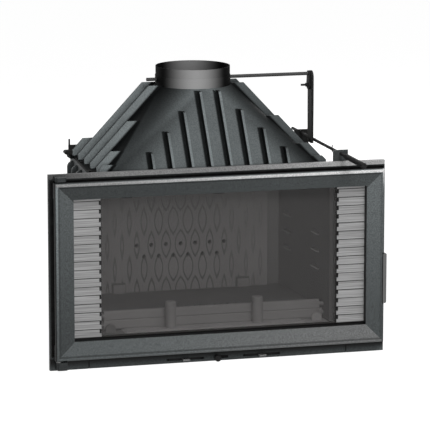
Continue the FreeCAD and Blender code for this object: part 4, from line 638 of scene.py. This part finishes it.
# Iron of the side liners: slots in rows, in columns of (depth, rise, strength of the painted highlight on
# the lip)
LINER_SLOT_ROWS = (0.263, 0.321, 0.379)
LINER_SLOT_COLUMNS = ((-0.021, 0.0, 1.0), (0.246, 0.013, 0.3))
LINER_LIP_DROP = 0.0025
LINER_LIP_SPAN = (0.0014, 0.0030)
LINER_LIP_END_SPAN = (0.030, 0.034)
LINER_LIP_HIGHLIGHT_TONE = 0.5
LINER_TONES = (0.060, 0.092)
LINER_BUMP = 0.0001


def liner_finish(name):
    """Sooty lining with painted highlights on its slot lips."""
    finish = Finish(name)
    _, y, z = finish.axes()
    lip = 0.0
    for depth, rise, highlight_strength in LINER_SLOT_COLUMNS:
        across = highlight_strength * (1.0 - abs(y - depth).between(*LINER_LIP_END_SPAN))
        for height in LINER_SLOT_ROWS:
            lip_height = height + rise - LINER_LIP_DROP
            # Painted highlight on the slot lips
            lip = lip + across * (1.0 - abs(z - lip_height).between(*LINER_LIP_SPAN))
    patches, speckle, mottle = lining_patterns(finish)
    tone = ramp(ramp(*LINER_TONES, mottle), LINER_LIP_HIGHLIGHT_TONE, lip)
    return finish.surface(base_color=finish.toned(tone, WARM), roughness=ramp(*LINING_ROUGHNESS, patches),
                          specular_ior_level=DULL, normal=finish.bump(speckle, LINER_BUMP))


# Iron of the front sill
SILL_TONES = (0.13, 0.30)
SILL_DARKENING_SPAN = (-0.40, 0.20)
SILL_SPECKLE_CONTRAST = (0.9, 1.1)
SILL_ROUGHNESS = (0.65, 0.85)
SILL_BUMP = 0.0005


def sill_finish(name):
    """Iron that is darker on the left."""
    finish = Finish(name)
    speckle = finish.grain(LINING_SPECKLE)
    tone = ramp(*SILL_TONES, finish.axes()[0].between(*SILL_DARKENING_SPAN))
    tone = tone * ramp(*SILL_SPECKLE_CONTRAST, speckle)
    return finish.surface(base_color=finish.toned(tone, WARM), roughness=ramp(*SILL_ROUGHNESS, speckle),
                          specular_ior_level=DULL, normal=finish.bump(speckle, SILL_BUMP))


# Iron of the rear liner
REAR_LINER_SHADE_TONE = 0.012
REAR_LINER_TONES = (0.15, 0.19)
REAR_LINER_SIDE_SPAN = (fireback_half - 0.006, fireback_half - 0.003)
REAR_LINER_ROUGHNESS = (0.65, 0.85)
REAR_LINER_BUMP = 0.0010


def rear_liner_finish(name):
    """The lining behind the fireback: painted black for the shade where only the fireback's holes show it.
    """
    finish = Finish(name)
    patches = finish.patches(LINING_PATCHES)
    beside = abs(finish.axes()[0]).between(*REAR_LINER_SIDE_SPAN)
    open_tone = ramp(*REAR_LINER_TONES, patches.between(*MOTTLE_SPAN))
    # Painted shade where only the fireback's holes show the lining
    tone = ramp(REAR_LINER_SHADE_TONE, open_tone, beside)
    return finish.surface(base_color=finish.toned(tone, WARM),
                          roughness=ramp(*REAR_LINER_ROUGHNESS, patches), specular_ior_level=DULL,
                          normal=finish.bump(patches, REAR_LINER_BUMP))


# Brushed steel and brass, with the scale of the brush marks along each axis
BRUSHED_MOTTLE = 18.0
BRUSHED_MARK_SHARE = 0.7
BRUSHED_DARK_SHARE = 0.85
BRUSHED_ROUGHNESS = (0.30, 0.44)
BRUSHED_BUMP = 0.0001
TUMBLED_STEEL = (200.0, 200.0, 200.0)
TUMBLED_BRASS = (300.0, 300.0, 300.0)
BRUSHED_UPRIGHT = (900.0, 900.0, 6.0)


def brushed_finish(name, tone, mark_scale):
    """Bare metal with fine marks, brushed along one axis or tumbled."""
    finish = Finish(name)
    marks = finish.brush_marks(mark_scale)
    mottle = ramp(finish.grain(BRUSHED_MOTTLE), marks, BRUSHED_MARK_SHARE)
    colour = finish.blend(mottle, grey(BRUSHED_DARK_SHARE * tone), grey(tone))
    return finish.surface(base_color=colour, metallic=1.0, roughness=ramp(*BRUSHED_ROUGHNESS, marks),
                          normal=finish.bump(marks, BRUSHED_BUMP))


# Steel of the slat panels, with painted shade in the grooves and at the foot
SLAT_MARKS = (5.0, 300.0, 300.0)
SLAT_TONES = (0.15, 0.26)
SLAT_LEFT_SHARE = 1.03
SLAT_RIGHT_SHARE = 1.20
SLAT_GROOVE_SHADE_SPAN = (0.0012, 0.0024)
SLAT_FOOT_SHADE_SPAN = (DOOR_OPENING_BOTTOM + 0.006, DOOR_OPENING_BOTTOM + 0.008)
SLAT_SHADE_TONE = 0.004
SLAT_METAL_SHARE = 0.3
SLAT_ROUGHNESS = (0.45, 0.55)
SLAT_BUMP = 0.0001


def slat_finish(name):
    """Satin steel slats, brushed lengthwise, with painted shade in the grooves between them and at their
    foot.
    """
    finish = Finish(name)
    x, y, z = finish.axes()
    marks = finish.brush_marks(SLAT_MARKS)
    # Painted shade in the grooves between the slats and at their foot
    groove = (y - slat_face).between(*SLAT_GROOVE_SHADE_SPAN)
    dark = groove.largest(1.0 - z.between(*SLAT_FOOT_SHADE_SPAN))
    steel = ramp(*SLAT_TONES, marks.between(*MOTTLE_SPAN))
    steel = steel * ramp(SLAT_LEFT_SHARE, SLAT_RIGHT_SHARE, x > 0.0)
    tone = ramp(steel, SLAT_SHADE_TONE, dark)
    return finish.surface(base_color=finish.toned(tone, NEUTRAL), metallic=SLAT_METAL_SHARE * (1.0 - dark),
                          roughness=ramp(*SLAT_ROUGHNESS, marks), specular_ior_level=DULL,
                          normal=finish.bump(marks, SLAT_BUMP))


# Glass of the door, with a painted shade band along its bottom
GLASS_TONE = 0.06
GLASS_COVER = 0.30
GLASS_SHINE = 0.3
GLASS_SHADE_TONE = 0.004
GLASS_SHADE_SPAN = (DOOR_OPENING_BOTTOM + 0.003, DOOR_OPENING_BOTTOM + 0.005)
GLASS_WIPES = 2.5
GLASS_WIPE_STRETCH = (1.0, 1.0, 3.0)
GLASS_ROUGHNESS = (0.05, 0.10)


def glass_finish(name):
    """Heat-proof glass with a light smoke tint, faint wipe marks and painted shade along its bottom,
    opaque there.
    """
    finish = Finish(name)
    wipes = finish.noise(GLASS_WIPES, PATCH_DETAIL, finish.stretched(GLASS_WIPE_STRETCH))
    # Painted shade along the bottom of the glass
    shaded_band = 1.0 - finish.axes()[2].between(*GLASS_SHADE_SPAN)
    return finish.surface(base_color=finish.toned(ramp(GLASS_TONE, GLASS_SHADE_TONE, shaded_band), WARM),
                          roughness=ramp(*GLASS_ROUGHNESS, wipes), specular_ior_level=GLASS_SHINE,
                          alpha=ramp(GLASS_COVER, 1.0, shaded_band))


# Blackened steel
BLACK_WEAR = 60.0
BLACK_WEAR_SPAN = (0.3, 0.8)
BLACK_TONES = (0.006, 0.014)
BLACK_GRAIN = 900.0
BLACK_ROUGHNESS = (0.62, 0.82)
BLACK_BUMP = 0.0002


def black_finish(name, shine):
    """Blackened steel, a little paler on its worn places."""
    finish = Finish(name)
    wear = finish.patches(BLACK_WEAR).between(*BLACK_WEAR_SPAN)
    grain = finish.grain(BLACK_GRAIN)
    return finish.surface(base_color=finish.toned(ramp(*BLACK_TONES, wear), NEUTRAL),
                          roughness=ramp(*BLACK_ROUGHNESS, grain), specular_ior_level=shine,
                          normal=finish.bump(grain, BLACK_BUMP))


# Glass-fibre rope and tape
FIBRE_TURNS = 1400.0
FIBRE_TURN_SHARE = 0.35
FIBRE_GRAIN = 900.0
FIBRE_GRAIN_SHARE = 0.3
FIBRE_TONES = (0.30, 0.58)
FIBRE_ROUGHNESS = 0.9
FIBRE_BUMP = 0.0006


def rope_finish(name):
    """Woven glass fibre."""
    finish = Finish(name)
    x, _, z = finish.axes()
    turns = ((x + z) * FIBRE_TURNS).sine()
    stray = finish.grain(FIBRE_GRAIN) - 0.5
    share = (0.5 + FIBRE_TURN_SHARE * turns + FIBRE_GRAIN_SHARE * stray).between(0.0, 1.0)
    return finish.surface(base_color=finish.toned(ramp(*FIBRE_TONES, share), WARM),
                          roughness=FIBRE_ROUGHNESS, normal=finish.bump(share, FIBRE_BUMP))


# Tones and shines that differ from piece to piece
PANEL_TONE = 0.040
HINGE_TONE = 0.024
BRACKET_TONE = 0.034
STEEL_TONE = 0.30
BRASS_TONE = 0.10
HANDLE_TONE = 0.12
# The hearth plate and grate are painted dark for the shade they lie in
HEARTH_SHADE_TONES = (0.085, 0.13)
GUARD_TONES = (0.20, 0.26)
DARK_STEEL_SHINE = 0.1
KNOB_SHINE = 0.15
SHAFT_SHINE = 0.6

# The finish of each material slot, and of the nodes that differ from their slot
slot_finishes = {
    "cast_iron": cast_finish("body_cast_iron"),
    "firebox_iron": firebox_finish("firebox_iron", PALE_IRON_TONES),
    "anthracite_paint": paint_finish("panel_paint", PANEL_TONE),
    "stainless": slat_finish("satin_slats"),
    "glass": glass_finish("door_glass"),
    "rope": rope_finish("seal_rope"),
    "plain_steel": brushed_finish("plain_steel", STEEL_TONE, TUMBLED_STEEL),
    "brass": brushed_finish("washer_brass", BRASS_TONE, TUMBLED_BRASS),
    "black_steel": black_finish("black_steel", DULL),
}
# Iron of the hearth and grate, painted dark for their shade
hearth_iron = firebox_finish("hearth_iron", HEARTH_SHADE_TONES)
guard_iron = firebox_finish("guard_iron", GUARD_TONES)
liner_iron = liner_finish("liner_iron")
hinge_paint = paint_finish("hinge_paint", HINGE_TONE)
slider_paint = slider_finish("slider_paint")
dark_steel = black_finish("dark_steel", DARK_STEEL_SHINE)
node_finishes = {
    "glass_clips": dark_steel,
    "clip_screws": dark_steel,
    "bracket_screws": dark_steel,
    "hood_bolts": dark_steel,
    "hinge_pin_upper": dark_steel,
    "hinge_pin_lower": dark_steel,
    # The front plate is painted black for the shade it lies in behind the door
    "front_plate": dark_steel,
    "door_frame": door_finish("door_paint"),
    "surround": surround_finish("surround_paint"),
    "plinth_panel": plinth_finish("plinth_paint"),
    "left_air_slider": slider_paint,
    "right_air_slider": slider_paint,
    "air_knob": black_finish("knob_black", KNOB_SHINE),
    "damper_shaft": black_finish("shaft_steel", SHAFT_SHINE),
    "rod_bracket_front": paint_finish("bracket_paint", BRACKET_TONE),
    "hood": hood_finish("hood_iron"),
    "flue_collar": collar_finish("collar_enamel"),
    "door_handle": brushed_finish("handle_steel", HANDLE_TONE, BRUSHED_UPRIGHT),
    "hinge_bracket_upper": hinge_paint,
    "hinge_bracket_lower": hinge_paint,
    "fireback": fireback_finish("fireback_iron"),
    "rear_liner": rear_liner_finish("rear_liner_iron"),
    "front_sill": sill_finish("sill_iron"),
    "log_guard": guard_iron,
    "left_post": guard_iron,
    "right_post": guard_iron,
    "hearth_plate": hearth_iron,
    "grate": hearth_iron,
    "left_liner": liner_iron,
    "right_liner": liner_iron,
}
for entry in frame["record"]["subparts"]:
    piece = nodes[entry["node"]]
    piece.data.materials.clear()
    piece.data.materials.append(node_finishes.get(entry["node"], slot_finishes[entry["material_slot"]]))


# Seals: rings of rope and tape that stand for the plain solids. A lay is the length from strand to strand.
ROPE_WIDTH = 0.008
ROPE_STRANDS = 3
ROPE_LAY = 0.012
TAPE_WIDTH = 0.010
TAPE_STRANDS = 6
TAPE_LAY = 0.008
STEPS_IN_A_LAY = 6
STEPS_IN_A_CORNER = 8
POINTS_AROUND = 14
STRAND_SWELL = 0.07
FLATTENED = 0.6


def ring_path(half_x, half_z, radius, step):
    """Points and outward directions round a rectangle with rounded corners."""
    points = []
    corners = ((1, 1), (-1, 1), (-1, -1), (1, -1))
    for i, (side_x, side_z) in enumerate(corners):
        centre = (side_x * (half_x - radius), side_z * (half_z - radius))
        for k in range(STEPS_IN_A_CORNER + 1):
            angle = math.pi / 2 * (i + k / STEPS_IN_A_CORNER)
            out = (math.cos(angle), math.sin(angle))
            points.append((centre[0] + radius * out[0], centre[1] + radius * out[1], out))
        run = 2 * (half_x if i % 2 == 0 else half_z) - 2 * radius
        last_x, last_z, out = points[-1]
        along = (-out[1], out[0])
        for k in range(1, int(run / step)):
            points.append((last_x + k * step * along[0], last_z + k * step * along[1], out))
    return points


def flattened(share):
    """A sine or cosine drawn out towards 1 and -1, for a ring that is pressed flat."""
    return math.copysign(abs(share) ** FLATTENED, share)


def make_seal(name, node, width, strands, lay):
    """A flattened rope: in each lay length a strand winds on to where its neighbour was."""
    low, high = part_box(node)
    middle = (low + high) / 2
    half_thick = (high.y - low.y) / 2
    step = lay / STEPS_IN_A_LAY
    path = ring_path((high.x - low.x - width) / 2, (high.z - low.z - width) / 2, width, step)
    vertices = []
    for i, (x, z, out) in enumerate(path):
        for k in range(POINTS_AROUND):
            angle = 2 * math.pi * k / POINTS_AROUND
            turn = 2 * math.pi * i / STEPS_IN_A_LAY
            swell = 1.0 - STRAND_SWELL + STRAND_SWELL * math.cos(strands * angle - turn)
            wide = flattened(math.cos(angle)) * swell * width / 2
            deep = flattened(math.sin(angle)) * swell * half_thick
            vertices.append((middle.x + x + wide * out[0], middle.y + deep, middle.z + z + wide * out[1]))
    faces = []
    for i in range(len(path)):
        here = i * POINTS_AROUND
        after = (i + 1) % len(path) * POINTS_AROUND
        for k in range(POINTS_AROUND):
            beside = (k + 1) % POINTS_AROUND
            faces.append((here + k, here + beside, after + beside, after + k))
    mesh = bpy.data.meshes.new(name)
    mesh.from_pydata(vertices, [], faces)
    mesh.polygons.foreach_set("use_smooth", [True] * len(faces))
    mesh.materials.append(slot_finishes["rope"])
    seal = bpy.data.objects.new(name, mesh)
    bpy.context.collection.objects.link(seal)
    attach(seal, "door")
    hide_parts(node)


make_seal("door_rope", "door_seal", ROPE_WIDTH, ROPE_STRANDS, ROPE_LAY)
make_seal("glass_tape", "glass_gasket", TAPE_WIDTH, TAPE_STRANDS, TAPE_LAY)


# Floor, light and camera
def make_floor():
    """A pale floor that keeps the shadow of the part, and is close to white where it is seen."""
    bpy.ops.mesh.primitive_plane_add(size=FLOOR_SIZE)
    floor = bpy.context.object
    floor.name = "studio_floor"
    finish = Finish("pale_floor")
    shaded = finish.add("ShaderNodeBsdfDiffuse", None, {"Color": grey(FLOOR_TONE)})
    glow = finish.add("ShaderNodeEmission", None, {"Color": grey(1.0), "Strength": FLOOR_GLOW})
    lit = finish.add("ShaderNodeAddShader", None, {0: shaded, 1: glow})
    both = finish.add("ShaderNodeMixShader", None, {"Fac": finish.seen(), 1: shaded, 2: lit})
    finish.add("ShaderNodeOutputMaterial", None, {"Surface": both})
    floor.data.materials.append(finish.material)


def make_world():
    """A little light from all round, and a pale sky where it is seen."""
    world = bpy.data.worlds.new("studio")
    bpy.context.scene.world = world
    sky = Shading(world)
    soft = sky.add("ShaderNodeBackground", None, {"Color": grey(SKY_TONE), "Strength": SKY_LIGHT})
    pale = sky.add("ShaderNodeBackground", None, {"Color": grey(SKY_TONE)})
    both = sky.add("ShaderNodeMixShader", None, {"Fac": sky.seen(), 1: soft, 2: pale})
    sky.add("ShaderNodeOutputWorld", None, {"Surface": both})


def make_lamp(name, place, target, size, energy):
    bpy.ops.object.light_add(type="AREA", location=place)
    lamp = bpy.context.object
    lamp.name = name
    lamp.data.size = size
    lamp.data.energy = energy
    aim = [there - here for there, here in zip(target, place)]
    level_run = math.hypot(aim[0], aim[1])
    lamp.rotation_euler = (math.atan2(level_run, -aim[2]), 0, math.atan2(aim[1], aim[0]) - math.pi / 2)


def make_camera():
    bpy.ops.object.camera_add(location=CAMERA_PLACE)
    camera = bpy.context.object
    camera.rotation_euler = (math.radians(90 - CAMERA_LOOK_DOWN), 0, math.radians(-CAMERA_TURN_RIGHT))
    camera.data.sensor_width = CAMERA_SENSOR_WIDTH
    camera.data.lens = CAMERA_SENSOR_WIDTH * CAMERA_FOCAL_PIXELS / PHOTO_PIXELS
    camera.data.clip_end = CAMERA_CLIP_END
    bpy.context.scene.camera = camera


bpy.ops.object.select_all(action="DESELECT")
make_floor()
make_world()
make_lamp("key_lamp", KEY_LAMP_PLACE, FRONT_TARGET, size=2.4, energy=190.0)
make_lamp("front_lamp", FRONT_LAMP_PLACE, FRONT_TARGET, size=1.9, energy=150.0)
make_lamp("rear_left_lamp", REAR_LEFT_LAMP_PLACE, REAR_TARGET, size=2.0, energy=50.0)
make_lamp("rear_right_lamp", REAR_RIGHT_LAMP_PLACE, REAR_TARGET, size=2.0, energy=50.0)
make_camera()
bpy.context.scene.view_settings.view_transform = "Standard"
